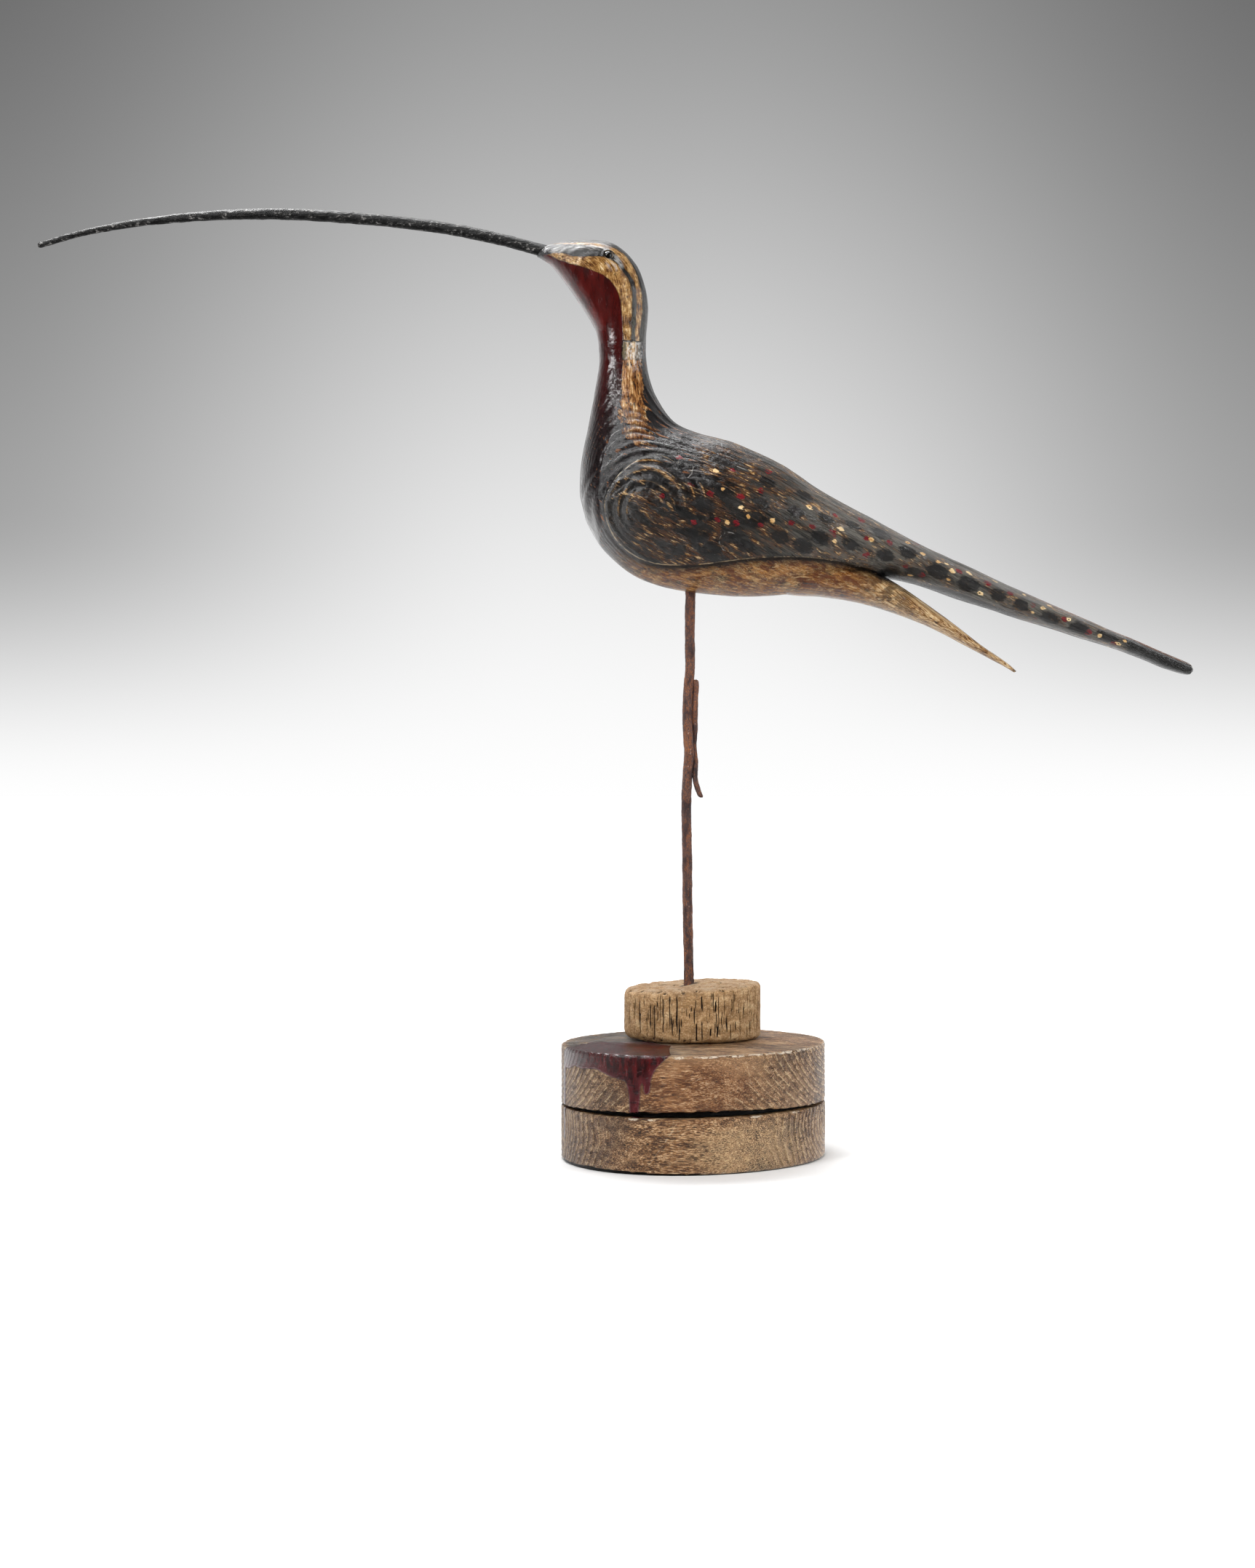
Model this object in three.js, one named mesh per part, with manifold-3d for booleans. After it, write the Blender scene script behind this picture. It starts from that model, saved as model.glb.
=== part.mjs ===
// A shorebird decoy: a carved bird with a very long bill, held up by an iron rod that goes through a cork net
// float into a stand of two oak discs.
// Millimetres, +Z up. The origin is on the stand's underside, below the rod. The bill points along -X.

import * as THREE from 'three'
import { mergeVertices } from 'three/addons/utils/BufferGeometryUtils.js'
import Module from 'manifold-3d'

// Sizes of the stand
const discDiameter = 153.6 // the mean of the discs, which have shrunk out of round across the grain
const discOval = 0.085 // how much longer and shorter than the mean the discs are, as a share
const discTurn = 30 // degrees from +X to the discs' long way across
const discMiddle = [2.9, -4] // the middle of the discs, measured from the rod
const lowerDiscThickness = 33
const upperDiscThickness = 35.7 // at the rim
const discCrown = 2.4 // how much the upper disc's top rises from the rim to the flat under the float
const crownMargin = 8 // how much further out than the float that flat goes
const discEdge = 1.4 // worn rounding of the discs' edges
const discUndercut = 2.4 // how far the upper disc's lower edge is worn back, which opens the seam
const discUndercutHeight = 1.5
const corkDiameter = 82
const corkOval = 0.03
const corkMiddle = [2.1, 0] // the middle of the float, measured from the rod
const corkThickness = 32
const corkEdgeLeft = 5.5 // rounding of the float's edges on its left side
const corkEdgeRight = 3 // and on its right side
const corkTilt = 2.8 // how much higher the float's top is on the right than on the left

// Sizes of the iron
const rodDiameter = 6.3
const rodLean = 0.85 // the rod's top is this much further along X than its foot
const rodFreeLength = 239.7 // from the float's top to the belly
const rodDiscDepth = 26 // depth of the rod's hole in the upper disc
const rodBodyDepth = 34 // depth of the rod's hole in the belly
const spurDiameter = 3.6
const spurLength = 72.5
const spurTop = 53 // the spur's upper end is this far below the belly
const spurFlare = 4.5 // how far the spur's lower end stands off the rod
const spurBlunt = 0.6 // width of the spur's two blunt ends, as a share
const spurSlip = 45 // degrees round the rod that the spur slips behind it

// Sizes of the bird
const bodyLength = 375 // from the breast to the tip of the tail
const neckDepth = 29 // front to back at the neck seam
const neckWidth = 26.4
const headHeight = 66.3 // from the neck seam to the crown
const billLength = 309
const billRootDiameter = 7.5
const billTipDiameter = 3.9
const billSlant = 32 // degrees that the joint between the bill and the head leans back
const billTenonDiameter = 4.6
const billTenonLength = 9
const billCollar = 0.6 // the head's tip stands this much proud of the bill
const eyeDiameter = 5.4
const eyeSink = 1.4 // how far the middle of the eye lies under the cheek
const wingRelief = 1.6
const wingSink = 0.3 // where the wing has faded out it lies this much under the back

const clearance = 0.3 // between two pieces that touch or fit

// The body's stations run from the neck seam to the tip of the tail. Each row has a point on the front and
// underside, a point on the nape and back, and half the width, in thousandths of the body's length. The points
// are measured from where the rod enters the belly.
const bodyStations = [
  { under: [-149, 368], over: [-70, 368], half: 36 },
  { under: [-164, 285], over: [-56, 320], half: 50 },
  { under: [-179, 202], over: [-25, 278], half: 73 },
  { under: [-176, 134], over: [13, 259], half: 90 },
  { under: [-141, 69], over: [49, 250], half: 100 },
  { under: [-70, 18], over: [89, 236], half: 104 },
  { under: [43, -4], over: [150, 207], half: 101 },
  { under: [162, -2], over: [215, 164], half: 92 },
  { under: [274, 25], over: [305, 115], half: 76 },
  { under: [357, 17], over: [381, 75], half: 64 },
  { under: [440, -11], over: [461, 39], half: 54 },
  { under: [535, -41], over: [553, -4], half: 44 },
  { under: [701, -94], over: [716, -74], half: 25 },
  { under: [773, -123], over: [790, -105], half: 17 },
  { under: [809, -134], over: [815, -116], half: 12 },
  { under: [817, -131], over: [819, -122], half: 6 },
]
const neckSeam = [-111, 405] // the middle of the seam, measured in the same way

// The spike under the tail, in thousandths of the body's length as well
const spikeStations = [
  { under: [61, 18], over: [120, 59], half: 62 },
  { under: [114, 4], over: [167, 57], half: 66 },
  { under: [167, -4], over: [221, 56], half: 66 },
  { under: [215, -7], over: [262, 46], half: 61 },
  { under: [286, -19], over: [315, 26], half: 53 },
  { under: [381, -52], over: [405, -34], half: 36 },
  { under: [464, -95], over: [474, -85], half: 19 },
  { under: [509, -119], over: [515, -114], half: 9 },
  { under: [528, -130], over: [531, -128], half: 3 },
]

// The edge of the folded wing, from the end of its curl on the shoulder, round the bend of the wing, and back
// along its lower edge to the tail, in the same thousandths
const wingEdge = [
  [-22, 200], [-52, 214], [-80, 209], [-122, 177], [-141, 132], [-120, 77], [-70, 43], [5, 37],
  [104, 47], [201, 47], [312, 28], [438, -6], [588, -61], [711, -105],
]
const wingFadeStart = 50 // degrees round the section from the back, where the wing's relief starts
const wingFadeEnd = 80

// The head's stations run from the neck seam to the root of the bill, in thousandths of the head's height,
// measured from the middle of the seam
const headStations = [
  { under: [-247, 128], over: [225, 128], half: 196 },
  { under: [-341, 295], over: [240, 336], half: 202 },
  { under: [-451, 456], over: [210, 537], half: 220 },
  { under: [-565, 617], over: [122, 745], half: 231 },
  { under: [-659, 728], over: [-89, 930], half: 199 },
  { under: [-737, 782], over: [-404, 956], half: 130 },
]
const billRoot = [-730, 866] // the middle of the joint with the bill, measured in the same way
const eyePlace = [-131, 776]

// The bill's middle line, in thousandths of its length from its root
const billLine = [
  [0, 0], [-96, 25], [-211, 47], [-355, 63], [-499, 72], [-643, 70], [-787, 57], [-902, 37], [-1000, 10],
]

// The rod's slight bends: the share of its free length from the float up, and the offset along X in millimetres
const rodBends = [
  [0, 0], [0.1, -0.5], [0.21, -1.1], [0.32, -1.4], [0.47, -2], [0.54, -1.3], [0.59, -0.5], [0.63, -1],
  [0.68, -1.5], [0.745, -1.1], [0.81, 0], [0.9, -0.3], [1, 0],
]

// Heights and places that follow from the sizes
const upperDiscBase = lowerDiscThickness + clearance
const upperDiscTop = upperDiscBase + upperDiscThickness + discCrown
const corkBase = upperDiscTop + clearance
const corkTop = corkBase + corkThickness
const bellyHeight = corkTop + rodFreeLength
const rodFoot = upperDiscTop - rodDiscDepth
const holeDiameter = rodDiameter + 2 * clearance

// How square the sections are over their roof and under their keel: 2 is an ellipse, more is squarer and less is
// more like a ridge
const bodySquareness = { roof: 2, keel: 2.1 }
const tailSquareness = { roof: 1.65, keel: 3 }
const spikeSquareness = { roof: 2.2, keel: 2.2 }
const headSquareness = { roof: 2.1, keel: 2.1 }
const tailStart = 0.5 // the body's sections change into the tail's between these shares of its stations
const tailEnd = 0.8

// Numbers of facets
const discSides = 48
const corkSides = 40
const rodSides = 10
const spurSides = 8
const bodySides = 26
const spikeSides = 14
const headSides = 24
const billSides = 10
const perStation = 3 // rings from one station to the next

// The joining and cutting of solids
const wasm = await Module()
wasm.setup()

function toSolid(geometry) {
  const bare = geometry.clone()
  bare.deleteAttribute('normal')
  bare.deleteAttribute('uv')
  const merged = mergeVertices(bare, 1e-4)
  return new wasm.Manifold(new wasm.Mesh({
    numProp: 3,
    vertProperties: new Float32Array(merged.attributes.position.array),
    triVerts: new Uint32Array(merged.index.array),
  }))
}

function toGeometry(solid) {
  const mesh = solid.getMesh()
  const geometry = new THREE.BufferGeometry()
  geometry.setAttribute('position', new THREE.BufferAttribute(mesh.vertProperties, 3))
  geometry.setIndex(new THREE.BufferAttribute(mesh.triVerts, 1))
  geometry.computeVertexNormals()
  return geometry
}

// A closed skin over a row of rings with as many points each, with a fan over each end ring
function skin(rings) {
  const sides = rings[0].length
  const points = rings.flat()
  const lastRing = (rings.length - 1) * sides
  const middles = [rings[0], rings[rings.length - 1]].map(
    (ring) => ring.reduce((sum, point) => sum.add(point), new THREE.Vector3()).divideScalar(sides),
  )
  const firstMiddle = points.length
  const lastMiddle = firstMiddle + 1
  const faces = []
  for (let side = 0; side < sides; side++) {
    const next = (side + 1) % sides
    faces.push(firstMiddle, next, side)
    faces.push(lastMiddle, lastRing + side, lastRing + next)
    for (let start = 0; start < lastRing; start += sides) {
      faces.push(start + side, start + next, start + sides + next)
      faces.push(start + side, start + sides + next, start + sides + side)
    }
  }
  const geometry = new THREE.BufferGeometry().setFromPoints([...points, ...middles])
  geometry.setIndex(faces)
  geometry.computeVertexNormals()
  return geometry
}

// A point at a share of the bird, in the plane that splits it into left and right
function inPlane([x, z], length, origin) {
  return new THREE.Vector3(origin.x + (x * length) / 1000, 0, origin.z + (z * length) / 1000)
}

// A ring round a section that stands between an underside point and an upper point. Going round from the top,
// the sine gives the side and the cosine the height. A squareness of 2 is an ellipse, and a higher one is
// squarer. The widening is added to the half-width at each angle.
function sectionRing(under, over, half, sides, { roof = 2, keel = 2.2, widening = () => 0 } = {}) {
  const middle = under.clone().lerp(over, 0.5)
  const upward = over.clone().sub(middle)
  const ring = []
  for (let side = 0; side < sides; side++) {
    const angle = (2 * Math.PI * side) / sides
    const squareness = Math.cos(angle) > 0 ? roof : keel
    const height = Math.sign(Math.cos(angle)) * Math.abs(Math.cos(angle)) ** (2 / squareness)
    const reach = Math.sign(Math.sin(angle)) * Math.abs(Math.sin(angle)) ** (2 / squareness)
    const point = middle.clone().addScaledVector(upward, height)
    point.y = -reach * (half + widening(angle))
    ring.push(point)
  }
  return ring
}

// The rings of a form whose stations have an underside point, an upper point and a half-width, in millimetres
function formRings(stations, sides, shapeAt) {
  const underLine = new THREE.CatmullRomCurve3(
    stations.map(({ under, half }) => under.clone().setY(half)), false, 'catmullrom', 0.5,
  )
  const overLine = new THREE.CatmullRomCurve3(stations.map(({ over }) => over), false, 'catmullrom', 0.5)
  const steps = (stations.length - 1) * perStation
  const rings = []
  for (let step = 0; step <= steps; step++) {
    const share = step / steps
    const under = underLine.getPoint(share)
    const half = under.y
    rings.push(sectionRing(under.setY(0), overLine.getPoint(share), half, sides, shapeAt(share)))
  }
  return rings
}

function toMillimetres(stations, length, origin) {
  return stations.map(({ under, over, half }) => ({
    under: inPlane(under, length, origin),
    over: inPlane(over, length, origin),
    half: (half * length) / 1000,
  }))
}

// A straight round bar between two points, for the rod's and the bill's holes
function bar(from, to, diameter, sides) {
  const length = from.distanceTo(to)
  const geometry = new THREE.CylinderGeometry(diameter / 2, diameter / 2, length, sides)
  const direction = to.clone().sub(from).normalize()
  geometry.applyQuaternion(new THREE.Quaternion().setFromUnitVectors(new THREE.Vector3(0, 1, 0), direction))
  const middle = from.clone().lerp(to, 0.5)
  return geometry.translate(middle.x, middle.y, middle.z)
}

// A disc or float from a profile of rows, each with its inset from the full radius and its height. The piece
// is longer one way across than the other.
function roundPiece({ diameter, oval, middle, sides, rowsAt }) {
  const longWay = THREE.MathUtils.degToRad(discTurn)
  const rowCount = rowsAt(0).length
  const rings = []
  for (let row = 0; row < rowCount; row++) {
    const ring = []
    for (let side = 0; side < sides; side++) {
      const angle = (2 * Math.PI * side) / sides
      const { inset, height } = rowsAt(angle)[row]
      const radius = (diameter / 2) * (1 + oval * Math.cos(2 * (angle - longWay))) - inset
      ring.push(new THREE.Vector3(
        middle[0] + radius * Math.cos(angle), middle[1] + radius * Math.sin(angle), height,
      ))
    }
    rings.push(ring)
  }
  return skin(rings)
}

// The quarter-round edge of a disc or float, from its outer side to its top or bottom face
function roundedEdge(radius, height, direction, steps = 2) {
  const rows = []
  for (let step = 0; step <= steps; step++) {
    const angle = (Math.PI / 2) * (step / steps)
    rows.push({
      inset: radius * (1 - Math.cos(angle)),
      height: height - direction * radius * (1 - Math.sin(angle)),
    })
  }
  return rows
}

function discPiece(rows) {
  return roundPiece({
    diameter: discDiameter, oval: discOval, middle: discMiddle, sides: discSides, rowsAt: () => rows,
  })
}

function lowerDisc() {
  return discPiece([
    ...roundedEdge(discEdge, 0, -1).reverse(),
    ...roundedEdge(discEdge, lowerDiscThickness, 1),
  ])
}

// The rod's hole through a height of the stand or the float
function rodHole(bottom, top, x = 0) {
  return toSolid(bar(new THREE.Vector3(x, 0, bottom), new THREE.Vector3(x, 0, top), holeDiameter, rodSides))
}

function upperDisc() {
  const flatInset = discDiameter / 2 - (corkDiameter / 2 + crownMargin)
  const disc = discPiece([
    { inset: discUndercut, height: upperDiscBase },
    { inset: 0, height: upperDiscBase + discUndercutHeight },
    ...roundedEdge(discEdge, upperDiscTop - discCrown, 1),
    { inset: flatInset, height: upperDiscTop },
  ])
  return toGeometry(toSolid(disc).subtract(rodHole(rodFoot - clearance, upperDiscTop + clearance)))
}

function corkFloat() {
  const rowsAt = (angle) => {
    const rightward = (1 + Math.cos(angle)) / 2
    const edge = THREE.MathUtils.lerp(corkEdgeLeft, corkEdgeRight, rightward)
    const top = corkTop + corkTilt * (rightward - 0.5)
    return [...roundedEdge(edge, corkBase, -1).reverse(), ...roundedEdge(edge, top, 1)]
  }
  const float = roundPiece({
    diameter: corkDiameter, oval: corkOval, middle: corkMiddle, sides: corkSides, rowsAt,
  })
  return toGeometry(toSolid(float).subtract(rodHole(corkBase - clearance, corkTop + corkTilt)))
}

// The rod's middle at a height. It is straight in the float and the stand, and in the belly.
const bendLine = new THREE.SplineCurve(rodBends.map(([share, offset]) => new THREE.Vector2(share, offset)))

function rodMiddle(height) {
  const share = THREE.MathUtils.clamp((height - corkTop) / rodFreeLength, 0, 1)
  const after = Math.max(1, bendLine.points.findIndex((place) => place.x >= share))
  const [from, to] = [bendLine.points[after - 1], bendLine.points[after]]
  const within = (share - from.x) / (to.x - from.x)
  const bend = bendLine.getPoint((after - 1 + within) / (bendLine.points.length - 1)).y
  return new THREE.Vector3(rodLean * share + bend, 0, height)
}

// A ring in a level plane, because the rod and the spur stand nearly upright
function levelRing(middle, radius, sides) {
  const ring = []
  for (let side = 0; side < sides; side++) {
    const angle = (2 * Math.PI * side) / sides
    ring.push(new THREE.Vector3(
      middle.x + radius * Math.cos(angle), middle.y + radius * Math.sin(angle), middle.z,
    ))
  }
  return ring
}

function legRod() {
  const top = bellyHeight + rodBodyDepth - clearance
  const freeSteps = 30
  const heights = [rodFoot]
  for (let step = 0; step <= freeSteps; step++) {
    heights.push(corkTop + (rodFreeLength * step) / freeSteps)
  }
  heights.push(top)
  return skin(heights.map((height) => levelRing(rodMiddle(height), rodDiameter / 2, rodSides)))
}

// The spur lies against the rod's right side, slips a little behind it halfway down and ends standing off it
function legSpur() {
  const steps = 16
  const slipMiddle = 0.57 // shares of the spur's length from its top
  const slipReach = 0.27
  const flareStart = 0.82
  const flareCurve = 1.4 // more than 1 leaves the rod gently
  const against = (rodDiameter + spurDiameter) / 2 + clearance
  const rings = []
  for (let step = 0; step <= steps; step++) {
    const share = step / steps
    const middle = rodMiddle(bellyHeight - spurTop - spurLength * share)
    const slip = 1 - THREE.MathUtils.smoothstep(Math.abs(share - slipMiddle), 0, slipReach)
    const angle = THREE.MathUtils.degToRad(spurSlip * slip)
    const flare = (Math.max(0, share - flareStart) / (1 - flareStart)) ** flareCurve
    const reach = against + spurFlare * flare
    middle.x += reach * Math.cos(angle)
    middle.y += reach * Math.sin(angle)
    const blunt = step === 0 || step === steps ? spurBlunt : 1
    rings.push(levelRing(middle, (spurDiameter / 2) * blunt, spurSides))
  }
  return skin(rings.reverse())
}

// The body's own zero, where the rod enters the belly, and the middle of the neck seam
const bodyOrigin = new THREE.Vector3(rodLean, 0, bellyHeight)
const seamMiddle = inPlane(neckSeam, bodyLength, bodyOrigin)

// The same neck section begins the body and the head
function neckStation(height) {
  return {
    under: new THREE.Vector3(seamMiddle.x - neckDepth / 2, 0, height),
    over: new THREE.Vector3(seamMiddle.x + neckDepth / 2, 0, height),
    half: neckWidth / 2,
  }
}

// From the rump back, the tail has a roof-like top and squarer sides below it
function bodyShape(share) {
  const tail = THREE.MathUtils.smoothstep(share, tailStart, tailEnd)
  return {
    roof: THREE.MathUtils.lerp(bodySquareness.roof, tailSquareness.roof, tail),
    keel: THREE.MathUtils.lerp(bodySquareness.keel, tailSquareness.keel, tail),
  }
}

function bodyForm(widening) {
  const stations = [
    neckStation(seamMiddle.z - clearance / 2),
    ...toMillimetres(bodyStations, bodyLength, bodyOrigin),
  ]
  return skin(formRings(stations, bodySides, (share) => ({ ...bodyShape(share), widening })))
}

// The folded wings, raised over the flanks. Their relief fades out towards the back.
function wings() {
  const fadeStart = THREE.MathUtils.degToRad(wingFadeStart)
  const fadeEnd = THREE.MathUtils.degToRad(wingFadeEnd)
  const raised = bodyForm((angle) => {
    const fromBack = Math.min(angle, 2 * Math.PI - angle)
    const fade = THREE.MathUtils.smoothstep(fromBack, fadeStart, fadeEnd)
    return wingRelief * fade - wingSink * (1 - fade)
  })
  const edge = wingEdge.map(([x, z]) => new THREE.Vector2((x * bodyLength) / 1000, (z * bodyLength) / 1000))
  const smoothEdge = new THREE.SplineCurve(edge).getPoints(3 * edge.length)
  const outline = new THREE.Shape([
    ...smoothEdge,
    new THREE.Vector2(bodyLength, -bodyLength / 4),
    new THREE.Vector2(bodyLength, bodyLength / 2),
    new THREE.Vector2(0, bodyLength / 2),
  ])
  const cutter = new THREE.ExtrudeGeometry(outline, { depth: bodyLength, bevelEnabled: false, steps: 1 })
  cutter.rotateX(Math.PI / 2)
  cutter.translate(bodyOrigin.x, bodyLength / 2, bodyOrigin.z)
  return toSolid(raised).intersect(toSolid(cutter))
}

function body() {
  const spike = skin(formRings(
    toMillimetres(spikeStations, bodyLength, bodyOrigin), spikeSides, () => spikeSquareness,
  ))
  const carved = toSolid(bodyForm()).add(wings()).add(toSolid(spike))
  return toGeometry(carved.subtract(rodHole(bellyHeight - rodDiameter, bellyHeight + rodBodyDepth, rodLean)))
}

// The bill starts at the head's tip and leaves it along the first stretch of its middle line
const billOrigin = inPlane(billRoot, headHeight, seamMiddle)
const billCurve = new THREE.CatmullRomCurve3(
  billLine.map((place) => inPlane(place, billLength, billOrigin)), false, 'catmullrom', 0.5,
)
const billOutward = billCurve.getTangent(0)

// The direction square to a tangent, upward in the plane of the bird
function squareTo(tangent) {
  return new THREE.Vector3(tangent.z, 0, -tangent.x)
}

// A section of the joint between the bill and the head, which leans back from square to the bill
function jointSection(middle, radius) {
  const slant = THREE.MathUtils.degToRad(billSlant)
  const upward = squareTo(billOutward).applyAxisAngle(new THREE.Vector3(0, 1, 0), slant)
  const reach = radius / Math.cos(slant)
  return {
    under: middle.clone().addScaledVector(upward, -reach),
    over: middle.clone().addScaledVector(upward, reach),
    half: radius,
  }
}

function headForm() {
  const stations = [
    neckStation(seamMiddle.z + clearance / 2),
    ...toMillimetres(headStations, headHeight, seamMiddle),
    jointSection(billOrigin, billRootDiameter / 2 + billCollar),
  ]
  return skin(formRings(stations, headSides, () => headSquareness).reverse())
}

// Where the left or right cheek's surface is at a place in the bird's plane
function cheekAt(place, side) {
  const from = new THREE.Vector3(place.x, side * headHeight, place.z)
  const ray = new THREE.Raycaster(from, new THREE.Vector3(0, -side, 0))
  const [hit] = ray.intersectObject(new THREE.Mesh(headForm()))
  return hit.point
}

function eyeMiddle(side) {
  const cheek = cheekAt(inPlane(eyePlace, headHeight, seamMiddle), side)
  return cheek.setY(cheek.y - side * eyeSink)
}

function eyeBall(side, diameter) {
  const middle = eyeMiddle(side)
  return new THREE.SphereGeometry(diameter / 2, 12, 8).translate(middle.x, middle.y, middle.z)
}

function head() {
  const socket = bar(
    billOrigin.clone().addScaledVector(billOutward, billTenonDiameter),
    billOrigin.clone().addScaledVector(billOutward, -billTenonLength - clearance),
    billTenonDiameter + 2 * clearance, billSides,
  )
  const sockets = [1, -1].map((side) => toSolid(eyeBall(side, eyeDiameter + 2 * clearance)))
  return toGeometry(toSolid(headForm()).subtract(toSolid(socket)).subtract(sockets[0]).subtract(sockets[1]))
}

// A round section square to the bill
function billRing(middle, tangent, diameter) {
  const upward = squareTo(tangent).multiplyScalar(diameter / 2)
  return sectionRing(middle.clone().sub(upward), middle.clone().add(upward), diameter / 2, billSides, { keel: 2 })
}

// The bill is even as far as its middle, tapers from there to its blunt tip, and ends inside the head in a
// thinner tenon
function bill() {
  const steps = 36
  const taperStart = 0.4
  const along = (distance) => billOrigin.clone().addScaledVector(billOutward, distance)
  const jointRing = (diameter) => {
    const { under, over, half } = jointSection(along(clearance), diameter / 2)
    return sectionRing(under, over, half, billSides, { keel: 2 })
  }
  const rings = [
    billRing(along(-billTenonLength), billOutward, billTenonDiameter),
    jointRing(billTenonDiameter),
    jointRing(billRootDiameter),
  ]
  const freeStart = billRootDiameter / billLength // clear of the slanted joint
  for (let step = 0; step <= steps; step++) {
    const share = THREE.MathUtils.lerp(freeStart, 1, step / steps)
    const taper = THREE.MathUtils.smoothstep(share, taperStart, 1)
    const diameter = THREE.MathUtils.lerp(billRootDiameter, billTipDiameter, taper)
    rings.push(billRing(billCurve.getPointAt(share), billCurve.getTangentAt(share), diameter))
  }
  return skin(rings.reverse())
}

// The scene
function named(name, geometry, color, roughness, metalness = 0) {
  const mesh = new THREE.Mesh(geometry, new THREE.MeshStandardMaterial({ color, roughness, metalness }))
  mesh.name = name
  return mesh
}

const group = new THREE.Group()
group.add(
  named('lower_disc', lowerDisc(), 0x8a6437, 0.6),
  named('upper_disc', upperDisc(), 0x845c32, 0.55),
  named('cork_float', corkFloat(), 0xa98454, 0.9),
  named('leg_rod', legRod(), 0x5a3d2e, 0.8, 0.4),
  named('leg_spur', legSpur(), 0x5a3d2e, 0.8, 0.4),
  named('body', body(), 0x3a2c22, 0.45),
  named('head', head(), 0x6b4a2a, 0.4),
  named('bill', bill(), 0x1f1f20, 0.4),
  named('eye_left', eyeBall(-1, eyeDiameter), 0x0a0a0a, 0.08),
  named('eye_right', eyeBall(1, eyeDiameter), 0x0a0a0a, 0.08),
)

export default group
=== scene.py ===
# %% [markdown]
# # A shorebird decoy on its stand
#
# The real thing is a carved and painted wooden bird with a very long bill. An iron rod holds it up, and
# goes through a cork net float into two round blocks of oak. Someone has spilt dark red paint over the
# blocks.
#
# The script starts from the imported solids, which fix where everything is and how big it is. Each piece is
# then made again at a fine scale from the same outlines, and finished with its own painted and worn
# material.

import math
from itertools import product

import bpy
import numpy as np
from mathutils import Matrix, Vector
from mathutils.kdtree import KDTree


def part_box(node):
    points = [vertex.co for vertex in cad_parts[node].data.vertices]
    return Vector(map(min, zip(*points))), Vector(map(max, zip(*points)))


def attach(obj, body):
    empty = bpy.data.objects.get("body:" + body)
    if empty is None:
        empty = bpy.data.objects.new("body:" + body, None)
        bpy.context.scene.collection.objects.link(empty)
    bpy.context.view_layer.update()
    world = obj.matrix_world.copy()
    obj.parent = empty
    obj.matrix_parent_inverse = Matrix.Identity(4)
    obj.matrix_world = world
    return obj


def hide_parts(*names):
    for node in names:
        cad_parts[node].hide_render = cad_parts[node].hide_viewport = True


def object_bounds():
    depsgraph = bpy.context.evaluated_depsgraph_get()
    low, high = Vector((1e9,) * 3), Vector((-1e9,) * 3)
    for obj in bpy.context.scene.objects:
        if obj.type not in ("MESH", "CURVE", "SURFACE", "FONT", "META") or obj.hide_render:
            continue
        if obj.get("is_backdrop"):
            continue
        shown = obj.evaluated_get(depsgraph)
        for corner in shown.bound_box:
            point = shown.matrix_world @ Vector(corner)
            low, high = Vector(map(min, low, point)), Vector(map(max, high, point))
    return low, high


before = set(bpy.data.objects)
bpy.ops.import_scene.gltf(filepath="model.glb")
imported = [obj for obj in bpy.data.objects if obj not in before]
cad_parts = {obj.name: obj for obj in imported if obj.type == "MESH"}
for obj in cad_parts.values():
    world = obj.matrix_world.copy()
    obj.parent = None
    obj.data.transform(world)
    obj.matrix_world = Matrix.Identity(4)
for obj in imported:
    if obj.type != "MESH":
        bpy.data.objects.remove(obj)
cad_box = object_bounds()
print("the solids:", ", ".join(sorted(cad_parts)))
print("their box in metres:", [round(value, 4) for corner in cad_box for value in corner])

# %% [markdown]
# ## The camera
#
# The photograph was taken level with the middle of the rod, from about 1.4 m away. One pixel covers 0.445
# mm at the bird, and Blender fits the lens to the long side of the picture, so the lens follows from those
# numbers.

# %% The camera
MM = 0.001
photo_width, photo_height = 1725, 2156
metres_per_pixel = 0.445 * MM  # in the bird's own plane
camera_distance = 1.37
rod_foot_pixel = (947, 1586.7)  # where the stand's underside is, straight below the rod
sensor = 36.0


def make_camera():
    data = bpy.data.cameras.new("camera")
    data.sensor_width = sensor
    data.lens = sensor * camera_distance / (metres_per_pixel * photo_height)
    data.clip_end = 50
    camera = bpy.data.objects.new("camera", data)
    across = (photo_width / 2 - rod_foot_pixel[0]) * metres_per_pixel
    up = (rod_foot_pixel[1] - photo_height / 2) * metres_per_pixel
    camera.location = (across, -camera_distance, up)
    camera.rotation_euler = (math.radians(90), 0, 0)
    bpy.context.scene.collection.objects.link(camera)
    bpy.context.scene.camera = camera
    return camera


camera = make_camera()
print("lens in mm:", round(camera.data.lens, 2), "at", [round(value, 3) for value in camera.location])

# %% [markdown]
# ## Meshes from numbers
#
# Nearly every piece here is a row of rings: sections of the bird, slices of a turned block, or rings along
# a rod. So one helper joins rings into a closed skin, and one turns the skin into a Blender object. Numpy
# works out all points of a mesh at once, which keeps a hundred thousand points quick.

# %% Curves through stations
def smooth_line(stations, at):
    """Points on the smooth curve through the stations, at shares from 0 to 1 of their count."""
    stations = np.asarray(stations, float)
    ends = np.vstack([2 * stations[0] - stations[1], stations, 2 * stations[-1] - stations[-2]])
    place = np.clip(np.asarray(at, float), 0, 1) * (len(stations) - 1)
    span = np.minimum(place.astype(int), len(stations) - 2)
    t = (place - span)[:, None]
    before, start, stop, after = (ends[span + step] for step in range(4))
    leave, arrive = (stop - before) / 2, (after - start) / 2
    return (
        (2 * start - 2 * stop + leave + arrive) * t**3
        + (-3 * start + 3 * stop - 2 * leave - arrive) * t**2
        + leave * t
        + start
    )


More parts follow.
